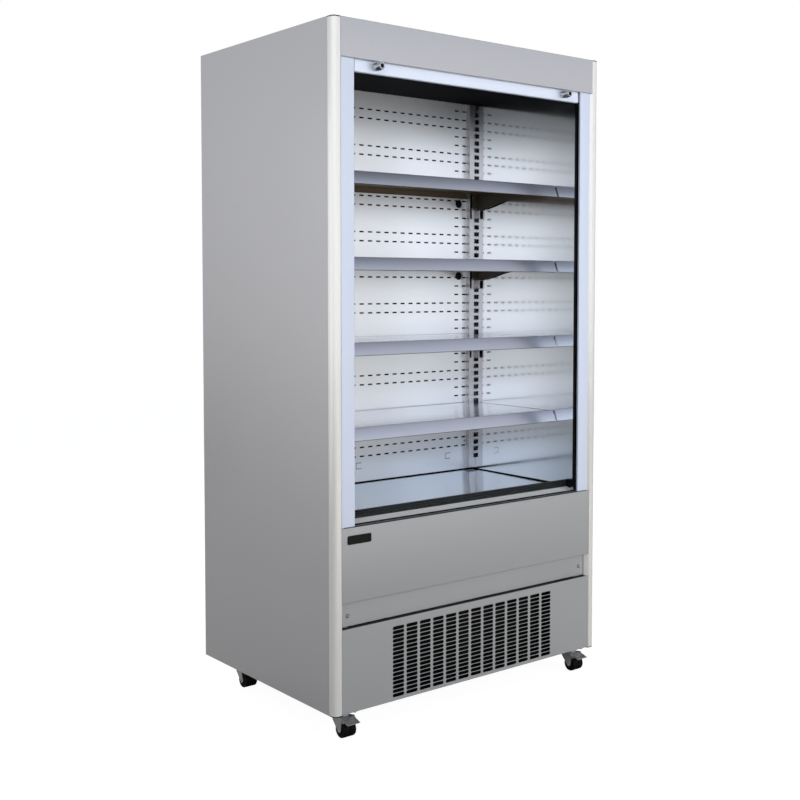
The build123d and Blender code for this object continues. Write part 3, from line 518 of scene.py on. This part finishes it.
band_half, band_front, band_rear, band_bottom = 465.6, 16, 24, 233
band_side = ((band_half, band_front), (band_half, band_rear))
band_ends = (*((-across, depth) for across, depth in band_side[::-1]), *band_side)
band_line = rounded(band_ends, 1.0)
piece(
    "band_cover",
    [folded(band_line, 1.0, (band_bottom, front_bottom), "z")],
    grey_coat,
    stands_for=("band_panel",),
)

# Lower grille. The same coated sheet, punched with 13 columns of round-ended slots for the
# condenser's air, and folded back along its top and bottom.


def slot_ring(length, height, steps=5):
    """Points round a slot with round ends, a quarter for each corner from the lower right."""
    angle = np.radians(90 * ((np.arange(4 * steps) + 0.5) / steps - 1))
    reach = (length - height) / 2
    across = np.where(np.cos(angle) > 0, reach, -reach) + height / 2 * np.cos(angle)
    return np.stack((across, height / 2 * np.sin(angle)), 1)


def pierced(us, vs, hole, is_open, lay, rims=(True, True, True, True)):
    """A plate of cells between grid lines, each open one with a hole whose ring of points is
    joined to the cell's corners. lay places flat points on the plate's face 0 or 1. rims says
    which of its lowest and highest v and u edges have walls."""
    us, vs = np.asarray(us, float), np.asarray(vs, float)
    index = np.arange(len(us) * len(vs)).reshape(len(us), len(vs))
    i, j = np.nonzero(~is_open)
    whole = np.stack((index[i, j], index[i + 1, j], index[i + 1, j + 1], index[i, j + 1]), 1)
    i, j = np.nonzero(is_open)
    corners = np.stack(
        (index[i + 1, j], index[i + 1, j + 1], index[i, j + 1], index[i, j]), 1
    )
    middle = np.stack((us[i] + us[i + 1], vs[j] + vs[j + 1]), 1) / 2
    flat = np.stack(np.meshgrid(us, vs, indexing="ij"), -1).reshape(-1, 2)
    flat = np.vstack((flat, (middle[:, None] + hole).reshape(-1, 2)))
    around = index.size + np.arange(len(i) * len(hole)).reshape(-1, len(hole))
    after = np.roll(around, -1, 1)
    own = np.repeat(corners, len(hole) // 4, 1)
    turn = np.arange(1, len(hole) + 1) % (len(hole) // 4) == 0
    fans = np.stack((own, around, after), -1)[:, ~turn].reshape(-1, 3)
    bridges = np.stack((own, around, after, np.roll(own, -1, 1)), -1)[:, turn].reshape(-1, 4)
    face = [block for block in (whole, fans, bridges) if len(block)]
    edges = [np.stack((around, after), -1).reshape(-1, 2)]
    lines = (index[:, 0], index[:, -1], index[0], index[-1])
    edges += [np.stack((line[:-1], line[1:]), 1) for line, rim in zip(lines, rims) if rim]
    edges = np.vstack(edges)
    walls = np.hstack((edges, edges[:, ::-1] + len(flat)))
    points = np.vstack((lay(flat, 0), lay(flat, 1)))
    return points, [*face, *(block + len(flat) for block in face), walls]


def facing(depth, thickness=1.0):
    """Lays flat points, across and up, on an upright plate whose front is at a depth."""
    return lambda flat, level: np.insert(flat, 1, depth + level * thickness, axis=1)


slot_pitch, row_pitch, slot_columns, slot_rows, slots_middle = 47.6, 11.65, 13, 17, 111.5
slot_length, slot_height, grille_bottom, grille_top, fold = 40.2, 10.0, 3, 230, 2
column_lines = (np.arange(slot_columns + 1) - slot_columns / 2) * slot_pitch
row_lines = slots_middle + (np.arange(slot_rows + 1) - slot_rows / 2) * row_pitch
grille_us = np.hstack((-cover_half, -flange_half, column_lines, flange_half, cover_half))
grille_vs = np.hstack((grille_bottom + fold, row_lines, grille_top - fold))
punched = np.zeros((len(grille_us) - 1, len(grille_vs) - 1), bool)
punched[2:-2, 1:-1] = True
plate = pierced(
    grille_us,
    grille_vs,
    slot_ring(slot_length, slot_height),
    punched,
    facing(0),
    (False, False, True, True),
)
folds = []
for height, inward in ((grille_bottom, 1), (grille_top, -1)):
    line = rounded(((0, height + fold * inward), (0, height), (17, height)), fold - 0.1)
    keep = np.ones((len(grille_us) - 1, len(line) - 1), bool)
    keep[[0, -1], -1] = False
    folds.append(folded(line, inward, grille_us, keep=keep, joins=(0,)))
piece("lower_grille", [plate, *folds], grey_coat, stands_for=("grille_panel",))

# Band screws. Pan heads with a dip for the driver, driven through the recessed band over black
# rubber washers. Bright zinc plating is cloudy: its patches differ in tone and polish.


def turned(profile, centre, axis, steps=48):
    """A profile of distances along an axis and radii, turned round it. Its ends are closed,
    unless the profile comes back to its start."""
    profile = np.asarray(profile, float)
    angle = np.arange(steps) * math.tau / steps
    grid = np.empty((len(profile), steps, 3))
    grid[..., axis] = centre[axis] + profile[:, :1]
    grid[..., (axis + 1) % 3] = centre[(axis + 1) % 3] + profile[:, 1:] * np.cos(angle)
    grid[..., (axis + 2) % 3] = centre[(axis + 2) % 3] + profile[:, 1:] * np.sin(angle)
    faces = [quads(len(profile), steps, wrap=True)]
    if not np.allclose(profile[0], profile[-1]):
        ends = (0, len(profile) - 1)
        faces += [np.arange(steps)[None] + row * steps for row in ends if profile[row, 1] > 0]
    return grid.reshape(-1, 3), faces


def plated(name, light, dark, roughness):
    """Metal plate with cloudy patches of about 7 mm that differ in tone and in polish."""
    cloud_size = 0.00714
    made, tree, place = material(name)
    cloud = pattern(tree, place, cloud_size, 3.0)
    surface(
        tree,
        {"Metallic": 0.8},
        tint=(cloud, dark, light),
        polish=(cloud, roughness - 0.04, roughness + 0.06),
    )
    return made


zinc = plated("bright_zinc_plate", "#d6d8da", "#c3c4c6", 0.24)
head = ((3.3, 0), (1.6, 0.8), (1.2, 1.4), (0, 1.9), (0.1, 2.8), (0.9, 3.7), (2.5, 4.0), (2.5, 2))
screw = (*head, (9.5, 2), (9.5, 0))
washer = ((1.6, 0), (1.6, 5.2), (2.5, 5.2), (2.5, 0))
band_screw_places = [(side * 446, band_front - 2.5, 261) for side in (-1, 1)]
piece(
    "band_screws",
    [turned(screw, place, 1, 24) for place in band_screw_places],
    zinc,
    stands_for=("panel_screws",),
)
piece(
    "screw_washers",
    [turned(washer, place, 1, 24) for place in band_screw_places],
    black_plastic,
)

# Blank plate. Black moulded plastic with rounded corners and an eased edge, glued to the front
# cover. It has the finest grain of the plastics and a soft gloss.


def ring(points, radius, steps=5):
    """A closed outline with every corner rounded, the same number of points to each."""
    points = np.asarray(points, float)
    start = (points[:1] + points[-1:]) / 2
    return rounded(np.vstack((start, points, start)), radius, steps)[1:-1]


def oblong(low, high):
    """The four corners of an oblong, from its lowest corner."""
    return ((low[0], low[1]), (high[0], low[1]), (high[0], high[1]), (low[0], high[1]))


plate_outline = ring(oblong((-457.5, 455), (-378.5, 479)), 5.0, 6)
plate_thickness = 1.2
black_gloss = moulded("black_gloss_plastic", "#08090a", 0.3, relief=0.02, gloss=0.3)
piece(
    "blank_plate",
    [prism(plate_outline, 0, -plate_thickness, "y", 0.4)],
    black_gloss,
)

# Blind guides. On each side a folded steel strip with a matt, pale blue-white coat covers a black
# channel, in which the rail's ends run. Black trims close the inner walls' front edges.

inner_half, guide_top, trim_bottom, trim_top = 440.0, 1782.0, 512, 1695
strip_coat = coated("pale_blue_white_coat", "#ccd4e5", "#c5cdde", 0.3, 0.4)
strip_front, strip_rear = 6, 12
strip_line = rounded(((470.2, strip_front), (428, strip_front), (428, strip_rear)), 1.2)
piece(
    "guide_strip_covers",
    both_sides(folded(strip_line, -1.0, (front_top, guide_top), "z")),
    strip_coat,
    stands_for=("guide_strips",),
)
trim_outline = oblong((inner_half - 1.6, 20), (inner_half, 38))
trims = both_sides(prism(trim_outline, trim_bottom, trim_top, "z", 0.3))
piece("wall_edge_trims", trims, black_plastic)

# Night blind. A coated aluminium rail hangs on a woven film, which a spring roller behind the
# canopy cover winds up. It is pulled down by two knobs of turned aluminium, whose fine rings
# streak their shine, with black plastic cores.

rail_half, tongue_half, rail_front, rail_bottom, rail_top = 423.0, 438.0, 11.5, 1696, 1739
rail_outline = ring(oblong((rail_front, rail_bottom), (rail_front + 12, rail_top)), 2.5)
tongue_outline = ring(oblong((16.9, rail_bottom + 4), (19.9, rail_top - 4)), 0.8, 2)
rail_coat = coated("pale_lavender_coat", "#d9e1f0", "#d2dae9", 0.3, 0.36)
piece(
    "blind_bottom_rail",
    [
        prism(rail_outline, -rail_half, rail_half, "x", 0.5),
        *both_sides(prism(tongue_outline, rail_half - 2, tongue_half, "x", 0.4)),
    ],
    rail_coat,
    body="blind_rail",
    stands_for=("blind_rail",),
)
satin_aluminium = polished("satin_turned_aluminium", "#cdd0d3", 0.26, (1, 14, 1), 0.0167)
knob_base = ((0, 0), (0, 11.0), (-22.0, 11.0), (-23.5, 10.6), (-28.0, 9.6), (-30.6, 9.4))
knob_tip = ((-31.4, 8.7), (-31.4, 6.2), (-30.9, 5.75), (-27.5, 5.75), (-27.5, 0))
knob_places = [(side * 355, rail_front, 1714) for side in (-1, 1)]
piece(
    "blind_pull_knobs",
    [turned((*knob_base, *knob_tip), place, 1, 40) for place in knob_places],
    satin_aluminium,
    body="blind_rail",
    stands_for=("blind_knobs",),
)
knob_core = ((-27.4, 0), (-27.4, 5.7), (-30.2, 5.7), (-30.6, 5.2), (-30.6, 0))
piece(
    "knob_cores",
    [turned(knob_core, place, 1, 28) for place in knob_places],
    black_plastic,
    body="blind_rail",
)


wave_width = 0.32  # metres, nearly, between the bands of a wave texture at a scale of 1


def woven(name, light, dark):
    """Plain weave: crossed waves at the threads' spacing, which is drawn at 2.2 mm because the
    real 0.3 mm is too fine to show."""
    thread = 0.0022
    made, tree, place = material(name)
    warp, weft = [
        add(
            tree,
            "TexWave",
            {"Scale": wave_width / thread, "Distortion": 0.4},
            {"Vector": place},
            bands_direction=across,
        ).outputs["Fac"]
        for across in ("X", "Z")
    ]
    cross = add(tree, "Math", links={0: warp, 1: weft}, operation="MULTIPLY").outputs[0]
    surface(
        tree,
        {"Metallic": 0.3, "Roughness": 0.55},
        tint=(cross, dark, light),
        relief=cross,
        strength=0.3,
    )
    return made


film_weave = woven("aluminised_woven_film", "#ccd0d6", "#a9adb4")
film_half, film_top, film_bottom, film_front, film_back = 436.0, 1772.0, 1739.0, 18.1, 18.7
film_rows, film_columns = 24, 25
film_line = np.stack(
    (np.full(film_rows, film_front), np.linspace(film_top, film_bottom, film_rows)), 1
)
film_stations = np.linspace(-film_half, film_half, film_columns)
blind_cloth = piece(
    "blind_cloth",
    [folded(film_line, film_back - film_front, film_stations)],
    film_weave,
    body=None,
    stands_for=("blind_film",),
)
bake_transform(blind_cloth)
dress(film_weave, "blind_roll")
dress(satin_aluminium, "blind_roller")
dress(zinc, "roller_brackets")

# Rear air panel. A satin stainless sheet with rows of short slots, through which cold air comes
# out of the duct; full rows alternate with rows that only have slots beside the uprights. The
# deck's sheet is the same steel with a mirror polish, which turns the light bluish.

rear_steel = polished("satin_rolled_stainless", "#edf0f3", 0.3, (14, 1, 1), 0.111, 0.8, 0.003)
deck_steel = polished("mirror_polished_stainless", "#9fb4cb", 0.12, (14, 1, 1), 0.111, tilt=0.006)
panel_front, air_pitch, air_row, air_columns = 507, 33.2, 28.6, 25
air_slot_length, air_slot_height = 18.6, 5
upper_rows = 1753 - air_row * np.arange(1, 10)
lower_rows = 1424 - air_row * np.arange(30)
air_columns_at = (np.arange(air_columns + 1) - air_columns / 2) * air_pitch
air_us = np.hstack((-inner_half, air_columns_at, inner_half))
air_vs = np.hstack(
    (
        505,
        lower_rows[::-1] - air_row / 2,
        lower_rows[0] + air_row / 2,
        upper_rows[::-1] - air_row / 2,
        upper_rows[0] + air_row / 2,
        1750,
    )
)
slotted = np.zeros((len(air_us) - 1, len(air_vs) - 1), bool)
for heights, full_rows in ((upper_rows, (1, 2)), (lower_rows, (0, 1))):
    for number, height in enumerate(heights):
        row = np.flatnonzero((air_vs[:-1] < height) & (air_vs[1:] > height))[0]
        slotted[1 : (-1 if number % 4 in full_rows else 3), row] = True
        slotted[-3:-1, row] = True
air_slot = slot_ring(air_slot_length, air_slot_height, 3)
piece(
    "slotted_air_panel",
    [pierced(air_us, air_vs, air_slot, slotted, facing(panel_front))],
    rear_steel,
    stands_for=("rear_air_panel",),
)

# Plugs, tabs and screws of the rear panel. Black moulded caps close its four round holes, cuts
# on three sides leave two tabs in the sheet near the deck, drawn as thin black strips that paint
# the shadow in the cuts, and a plated pan-head screw holds the foot of each post.

plug = ((0.5, 13.5), (-0.6, 13.5), (-1.8, 12.8), (-2.6, 10.5), (-3.0, 6.0), (-3.1, 0))
plug_out, plug_heights = 374, (1414, 1172)
plugs = [
    turned(plug, (side * plug_out, panel_front, height), 1, 32)
    for side in (-1, 1)
    for height in plug_heights
]
piece("hole_plugs", plugs, black_plastic)
# The tabs' cuts are thin black strips just proud of the sheet, a painted shadow in each cut.
tab_width, tab_height, cut = 22.0, 20.0, 1.6
cut_front, cut_rear = panel_front - 0.1, panel_front + 0.5
tab_cut_shadows = [
    prism(np.array(oblong(low, high), float) + (x, height), cut_front, cut_rear, "y")
    for x, height in ((318, 554), (-57, 555))
    for low, high in (
        ((0, 0), (tab_width, cut)),
        ((0, tab_height - cut), (tab_width, tab_height)),
        ((0, cut), (cut, tab_height - cut)),
    )
]
piece("lanced_tab_cut_shadows", tab_cut_shadows, black_plastic)
post_screw_places = [(side * 403, panel_front - 2.4, 609) for side in (-1, 1)]
piece(
    "upright_screws",
    [turned((*head, (2.5, 0)), place, 1, 20) for place in post_screw_places],
    zinc,
)

# Uprights. Folded steel posts, screwed into the rear corners and punched with a ladder of slots
# for the brackets' hooks. Their brushed steel is a dull grey with faint upright marks.

post_bottom, top_slot, ladder_pitch, ladder_slots = 518, 1738.2, 23.6, 51
post_front, post_sheet, post_inner = 489.5, 1.5, 408.4
rung_half, rung_rise, cell_rise = 5.2, 7.4, 8.8
ladder = top_slot - ladder_pitch * np.arange(ladder_slots)[::-1]
cell_edges = np.stack((ladder - cell_rise, ladder + cell_rise), 1).reshape(-1)
post_vs = np.hstack((post_bottom, cell_edges))
post_us = np.array((post_inner + 2, 429, inner_half - 0.4))
rungs = np.zeros((2, len(post_vs) - 1), bool)
rungs[1, 1::2] = True
rung = np.roll(ring(oblong((-rung_half, -rung_rise), (rung_half, rung_rise)), 1.0, 2), -3, 0)
post_line = ((post_us[0], post_front), (post_inner, post_front), (post_inner, panel_front))
post_lay = facing(post_front, post_sheet)
post = (
    pierced(post_us, post_vs, rung, rungs, post_lay, (True, True, False, True)),
    folded(rounded(post_line, 1.9), -post_sheet, post_vs, "z", joins=(0,)),
)
post_steel = polished("brushed_post_steel", "#c2c1c4", 0.3)
piece("slotted_posts", both_sides(*post), post_steel, stands_for=("uprights",))

# Shelves. Folded steel pans, notched round the posts. The front folds up into a lip and down
# into a price strip that leans forward. The top is polished, the rear flange and price strip are
# satin, and the underside and the flange's front are painted dark brown as painted shade.


def steel_with_painted_shade(name, colour, roughness, shade_colour, rear):
    """Polished steel. Painted shade, a dark brown, covers faces that look down, by their normal's
    height. Behind the rear, which is a depth in metres, that height counts 1 lower, so upright
    faces have it too. Faces that don't look up are 2.2 times as rough."""
    made, tree, place = material(name)
    normal = add(tree, "NewGeometry").outputs["Normal"]
    upward = add(tree, "SeparateXYZ", links={0: normal}).outputs["Z"]
    depth = add(tree, "SeparateXYZ", links={0: place}).outputs["Y"]
    behind = add(
        tree, "MapRange", {"From Min": rear, "From Max": rear + 0.002}, {"Value": depth}
    ).outputs[0]
    lowered = add(tree, "Math", links={0: upward, 1: behind}, operation="SUBTRACT").outputs[0]
    below = add(
        tree, "MapRange", {"From Min": -0.6, "From Max": -0.8}, {"Value": lowered}
    ).outputs[0]
    satin = add(
        tree,
        "MapRange",
        {"From Min": 0.9, "From Max": 0.5, "To Min": roughness, "To Max": 2.2 * roughness},
        {"Value": upward},
    ).outputs[0]
    marks = pattern(tree, place, 0.111, 4.0, 0.65, (1, 14, 1))
    wear = add(tree, "MapRange", {"To Min": -0.03, "To Max": 0.05}, {"Value": marks}).outputs[0]
    rough = add(tree, "Math", links={0: satin, 1: wear}, operation="ADD").outputs[0]
    steel = add(
        tree,
        "BsdfPrincipled",
        {"Base Color": linear(colour), "Metallic": 1.0},
        {"Roughness": rough},
    )
    # The dark brown painted shade under the shelf and on its rear flange's front.
    paint = add(
        tree,
        "BsdfPrincipled",
        {"Base Color": linear(shade_colour), "Roughness": 0.45, "Specular IOR Level": 0.3},
    )
    both = add(tree, "MixShader", links={0: below, 1: steel.outputs[0], 2: paint.outputs[0]})
    add(tree, "OutputMaterial", links={"Surface": both.outputs[0]})
    return made


shelf_lips = (1453.5, 1217.5, 981.5, 745.5)
shelf_half, notch_half, notch_depth, shelf_rear, flange_drop = 436.0, 406.4, 487.5, 500, 18
price_front, price_lean, price_drop, lip_rise = 122.4, 14.0, 35.5, 4
rear_start = to_frame((0, notch_depth + 2.5, 0))[1]
shelf_steel = steel_with_painted_shade("polished_shelf_steel", "#ced3df", 0.14, "#3b3022", rear_start)
for number, lip in enumerate(shelf_lips, start=1):
    top = lip - lip_rise
    rear = rounded(((shelf_rear, top - flange_drop), (shelf_rear, top), (notch_depth, top)), 1.5)
    strip = (
        (notch_depth, top),
        (price_front + 3, top),
        (price_front + 3, lip),
        (price_front, lip),
        (price_front - price_lean, lip - price_drop),
        (price_front - price_lean + 4, lip - price_drop - 1.5),
    )
    line = np.vstack((rear, rounded(strip, (1.0, 1.3, 1.3, 1.2))[1:]))
    keep = np.ones((3, len(line) - 1), bool)
    keep[::2, : len(rear) - 1] = False
    pan = folded(line, 1.0, (-shelf_half, -notch_half, notch_half, shelf_half), keep=keep)
    edge_outline = oblong((shelf_half - 1, top - flange_drop), (shelf_half, top - 0.6))
    edge = prism(edge_outline, price_front + 4, notch_depth, "y")
    piece(
        f"shelf_pan_{number}",
        [pan, *both_sides(edge)],
        shelf_steel,
        stands_for=(f"shelf_{number}",),
    )

# Shelf brackets. Pressed steel arms with an S-shaped underside and two hooks in the post's
# slots, bent into a flange against the post. The arms and the flange's upper part have a dark
# brown coat that paints the shade under the shelves; the arms' feet and the flange's lower end
# are bare steel, the flange with a hole.

# Dark brown, painting the shade under the shelves on the arms and the flanges' upper parts.
bracket_shade_coat = coated("painted_shade_bracket_finish", "#3a352c", "#302b24", 0.3, 0.4)
along_curve = np.linspace(0, 1, 17)
swell = along_curve**2 * (3 - 2 * along_curve)
curve = np.stack((315 + 142 * along_curve, -33.5 - 24.5 * swell), 1)
arm_inner, arm_outer, arm_rear, arm_top, foot_drop = 430, 432, 480.0, -5.0, -88.0
arm_outline = np.vstack(
    (
        ring(oblong((128, -34.5), (136, arm_top)), 2.0, 3)[-4:],
        ((128, -32.5), (130, -34.5)),
        curve,
        ((457.5, -60.5), (arm_rear, -60.5), (arm_rear, arm_top)),
    )
)
hook = np.array(((480, 0), (491.2, 0), (491.2, -6), (495.5, -6), (495.5, 9), (480, 9)), float)
flange_inner, flange_sheet, flange_hole = 412, 2, 5
holed = np.zeros((3, 3), bool)
holed[1, 1] = True
brackets, flanges = [], []
for lip in shelf_lips:
    brackets.append(prism(arm_outline + (0, lip), arm_inner, arm_outer, "x", 0.3))
    for slots_down in (1, 3):
        rest = lip + 1.5 - slots_down * ladder_pitch - 8
        brackets.append(prism(hook + (0, rest), arm_inner, arm_outer, "x", 0.3))
    upper = oblong((flange_inner, lip - 51.8), (arm_inner, lip + arm_top))
    brackets.append(prism(upper, arm_rear, arm_rear + flange_sheet, "y"))
    flange_us = (flange_inner, 422, 429, arm_inner)
    flange_vs = np.array((foot_drop, -72, -60, -52)) + lip
    hole = slot_ring(flange_hole, flange_hole)
    flange_lay = facing(arm_rear, flange_sheet)
    flanges.append(pierced(flange_us, flange_vs, hole, holed, flange_lay))
    foot = oblong((464, lip + foot_drop), (arm_rear, lip - 61))
    flanges.append(prism(foot, arm_inner, arm_outer, "x", 0.3))
piece(
    "cantilever_brackets",
    both_sides(*brackets),
    bracket_shade_coat,
    stands_for=("shelf_brackets",),
)
piece("bracket_flanges", both_sides(*flanges), post_steel)

# Deck and sill. The display's mirror-polished floor, folded up at its front, and the rounded cover
# of the tub's front wall, whose matt coat is painted nearly white as painted light on its top.
# Black plastic beads seal the deck to the walls, and black strips along the joints of the front's
# covers paint the shadow in the gaps between them.

deck_front, deck_lip, deck_top, deck_rear = 97, 523, 511, 506
deck_line = rounded(((deck_front, deck_lip), (deck_front, deck_top), (deck_rear, deck_top)), 1.2)
piece(
    "deck_sheet",
    [folded(deck_line, -1.0, (-inner_half, inner_half))],
    deck_steel,
    stands_for=("deck_pan",),
)
# Nearly white, as painted light on the sill's upward face.
sill_painted_light = coated("pale_sill_coat", "#f0f2f2", "#e8eaea", 0.05, 0.45)
sill_line = rounded(((26, 490), (26, 501), (65, 508), (65, 484)), (3.0, 2.0), 7)
piece(
    "sill_cover",
    [folded(sill_line, -1.0, (-inner_half, inner_half))],
    sill_painted_light,
    stands_for=("sill_profile",),
)
bead_half, bead_rear = inner_half - 2.4, panel_front - 0.1
side_bead = oblong((bead_half, deck_top), (inner_half, deck_top + 2.6))
seals_and_gap_shadows = [
    prism(oblong((bead_rear - 3.5, deck_top), (bead_rear, deck_top + 3)), -bead_half, bead_half),
    *both_sides(prism(side_bead, deck_front + 1.5, bead_rear, "y")),
]
# These three black strips along the covers' joints paint the shadow in the gaps between the
# covers.
for low, high, half in (
    ((2, front_top), (6, front_top + 0.9), flange_half),
    ((3, grille_top), (15.4, grille_top + 1), flange_half),
    ((22.5, front_top), (27.5, front_top + 2.6), inner_half - 0.1),
):
    seals_and_gap_shadows.append(prism(oblong(low, high), -half, half))
piece("deck_seals_and_gap_shadows", seals_and_gap_shadows, black_plastic)

# Return strip. A moulded plastic honeycomb between two bars, through which the air goes back, laid
# into the gap between sill and deck, and the clip that holds its right end. The strip is painted a
# dark grey, lighter than the clip's black, as a painted highlight on the cells' edges.

cell_pitch, cell_rows, cell_wall, strip_thick, bar_width = 10.3, 3, 2.0, 1.5, 2.4
strip_start, strip_end = np.array((65.0, 508.0)), np.array((96.0, 523.0))
strip_run = strip_end - strip_start
strip_width = math.hypot(*strip_run)
strip_run = strip_run / strip_width
strip_down = np.array((strip_run[1], -strip_run[0]))


def on_strip(flat, level):
    """Lays points, across and along the slope, on the strip's upper or lower face."""
    side = strip_start + flat[:, 1:] * strip_run + level * strip_thick * strip_down
    return np.column_stack((flat[:, 0], side))


cell_radius = cell_pitch / math.sqrt(3)
cell_angle = np.arange(6) * math.tau / 6
corner_way = np.stack((np.sin(cell_angle), np.cos(cell_angle)), 1)
cell_columns = int((2 * inner_half - 4) / cell_pitch)
row, column = np.divmod(np.arange(cell_rows * cell_columns), cell_columns)
centres = np.stack(
    (
        (column - (cell_columns - 1) / 2 + (row % 2 - 0.5) / 2) * cell_pitch,
        strip_width / 2 + (row - (cell_rows - 1) / 2) * 1.5 * cell_radius,
    ),
    1,
)
rings = [
    (centres[:, None] + corner_way * radius).reshape(-1, 2)
    for radius in (cell_radius, cell_radius - cell_wall / 2)
]
flat = np.vstack(rings)
outer = np.arange(6 * len(centres)).reshape(-1, 6)
inner = outer + outer.size
webs = np.stack((outer, np.roll(outer, -1, 1), np.roll(inner, -1, 1), inner), -1).reshape(-1, 4)
throats = np.stack(
    (inner, np.roll(inner, -1, 1), np.roll(inner, -1, 1) + len(flat), inner + len(flat)), -1
).reshape(-1, 4)
honeycomb = (
    np.vstack((on_strip(flat, 0), on_strip(flat, 1))),
    [webs, webs + len(flat), throats],
)
bars = []
for start in (0, strip_width - bar_width):
    sides = np.array(oblong((start, 0), (start + bar_width, strip_thick)))
    section = strip_start + sides[:, :1] * strip_run + sides[:, 1:] * strip_down
    bars.append(prism(section, -inner_half, inner_half, "x", 0.3))
# Dark grey rather than black: a painted highlight on the honeycomb's cell edges.
grid_with_painted_highlight = moulded("moulded_grid_painted_highlight", "#3d403f", 0.45)
piece(
    "return_honeycomb",
    [honeycomb, *bars],
    grid_with_painted_highlight,
    stands_for=("return_grille",),
)
clip = [
    prism(ring(outline, 1.5, 2), bead_half, inner_half, "x", 0.3)
    for outline in (oblong((36, 508.5), (64, 530)), oblong((47, 484), (58, 510)))
]
piece("strip_end_clip", clip, black_plastic)

# Evaporator, condenser and their fans. Aluminium fins on copper tubes, the condenser's painted
# black, show edge on as fine dark lines. Sheets beside and above the condenser close the gap
# round it. The motors' steel is dull, and their fans are moulded nylon.


def finned(name, light, dark):
    """Fins edge on: sharp dark lines at the fins' spacing of 4 mm across the cabinet."""
    fin = 0.004
    made, tree, place = material(name)
    wave = add(
        tree, "TexWave", {"Scale": wave_width / fin}, {"Vector": place}, bands_direction="X"
    ).outputs["Fac"]
    surface(
        tree,
        {"Metallic": 0.9, "Roughness": 0.38},
        tint=(wave, dark, light),
        relief=wave,
        height=0.001,
        strength=0.8,
    )
    return made


bright_fins = finned("aluminium_fin_pack", "#c9ccd0", "#4a4d51")
black_fins = finned("black_coated_fin_pack", "#101012", "#030303")
dress(bright_fins, "evaporator_coil")
dress(black_fins, "condenser_coil")
baffle_front, baffle_rear, coil_half, coil_top = 88.0, 89.0, 282.4, 218.4
baffle_half, baffle_bottom, baffle_top = inner_half - 0.2, 1.2, 234.8
beside_coil = oblong((coil_half, baffle_front), (baffle_half, baffle_rear))
above_coil = oblong((baffle_front, coil_top), (baffle_rear, baffle_top))
baffles = (
    *both_sides(prism(beside_coil, baffle_bottom, baffle_top, "z")),
    prism(above_coil, -coil_half, coil_half),
)
# The baffles' black coat paints the shade round the condenser behind the grille's slots.
piece("condenser_baffles", baffles, black_coat_and_shade)
motor_steel = plated("motor_steel", "#9a9da1", "#84878b", 0.4)
fan_plastic = moulded("black_fan_nylon", "#1b1c1f", 0.4)
dress(motor_steel, "fan_motors")
dress(fan_plastic, "evaporator_fan_left", "evaporator_fan_right", "condenser_fan")

# Compressor. A drawn steel shell welded round its middle, on a base plate with feet and with a
# terminal box on its side. Thick black enamel gives it a smooth gloss.

enamel = coated("black_enamel", "#1c1d20", "#131417", 0.1, 0.28)
shell_line = rounded(
    (
        (18, 0),
        (18, 66),
        (52, 82),
        (92, 82),
        (92, 87),
        (100, 87),
        (100, 82),
        (160, 82),
        (195, 44),
        (200, 0),
    ),
    (14, 20, 1, 1.5, 1.5, 1, 22, 30),
    6,
)
shell_x, shell_y = -170, 440
foot_line = ((1, 0), (1, 12), (4, 13), (6, 10.5), (9, 13), (15, 12), (15, 0))
feet = [
    turned(foot_line, (x, y, 0), 2, 24)
    for x in (shell_x - 90, shell_x + 90)
    for y in (shell_y - 47, shell_y + 47)
]
base_outline = ring(oblong((shell_x - 110, shell_y - 65), (shell_x + 110, shell_y + 65)), 12)
box_outline = ring(oblong((shell_y - 28, 110), (shell_y + 28, 155)), 4)
piece(
    "compressor_unit",
    [
        turned(shell_line, (shell_x, shell_y, 0), 2, 72),
        prism(base_outline, 15, 18.5, "z", 0.5),
        prism(box_outline, shell_x + 76, shell_x + 112, "x", 1.5),
        *feet,
    ],
    enamel,
    stands_for=("compressor",),
)

# Casters. Zinc-plated plates, pressed forks and brake pedals, bolted under the cabinet, with
# twin-tread black rubber wheels on steel axles. The rubber is dull and nearly black.

dress(zinc, "caster_plates")
rubber = moulded("black_tyre_rubber", "#080809", 0.6, gloss=0.15)
half_tread = (
    (0, 19.8),
    (1.6, 20.0),
    (1.8, 21.4),
    (2.6, 22.0),
    (17.2, 22.0),
    (18.8, 21.4),
    (19.6, 20.2),
    (19.6, 17.6),
    (18.2, 16.6),
    (18.2, 9.2),
    (20.0, 8.2),
    (20.0, 3.1),
)
tread = [(-along, radius) for along, radius in half_tread[:0:-1]]
wheel_line = np.array((*tread, *half_tread, tread[0]))
axle_height, trail, caster_out, front_pivot, rear_pivot = -48.0, 14.0, 442, 44, 549
for corner, x, pivot in (
    ("front_left", -caster_out, front_pivot),
    ("front_right", caster_out, front_pivot),
    ("rear_left", -caster_out, rear_pivot),
    ("rear_right", caster_out, rear_pivot),
):
    piece(
        f"{corner}_wheel",
        [turned(wheel_line, (x, pivot - trail, axle_height), 0, 56)],
        rubber,
        body=f"wheel_{corner}",
        stands_for=(f"caster_wheel_{corner}",),
    )
    dress(zinc, f"caster_fork_{corner}")
dress(zinc, "brake_pedal_front_left", "brake_pedal_front_right")
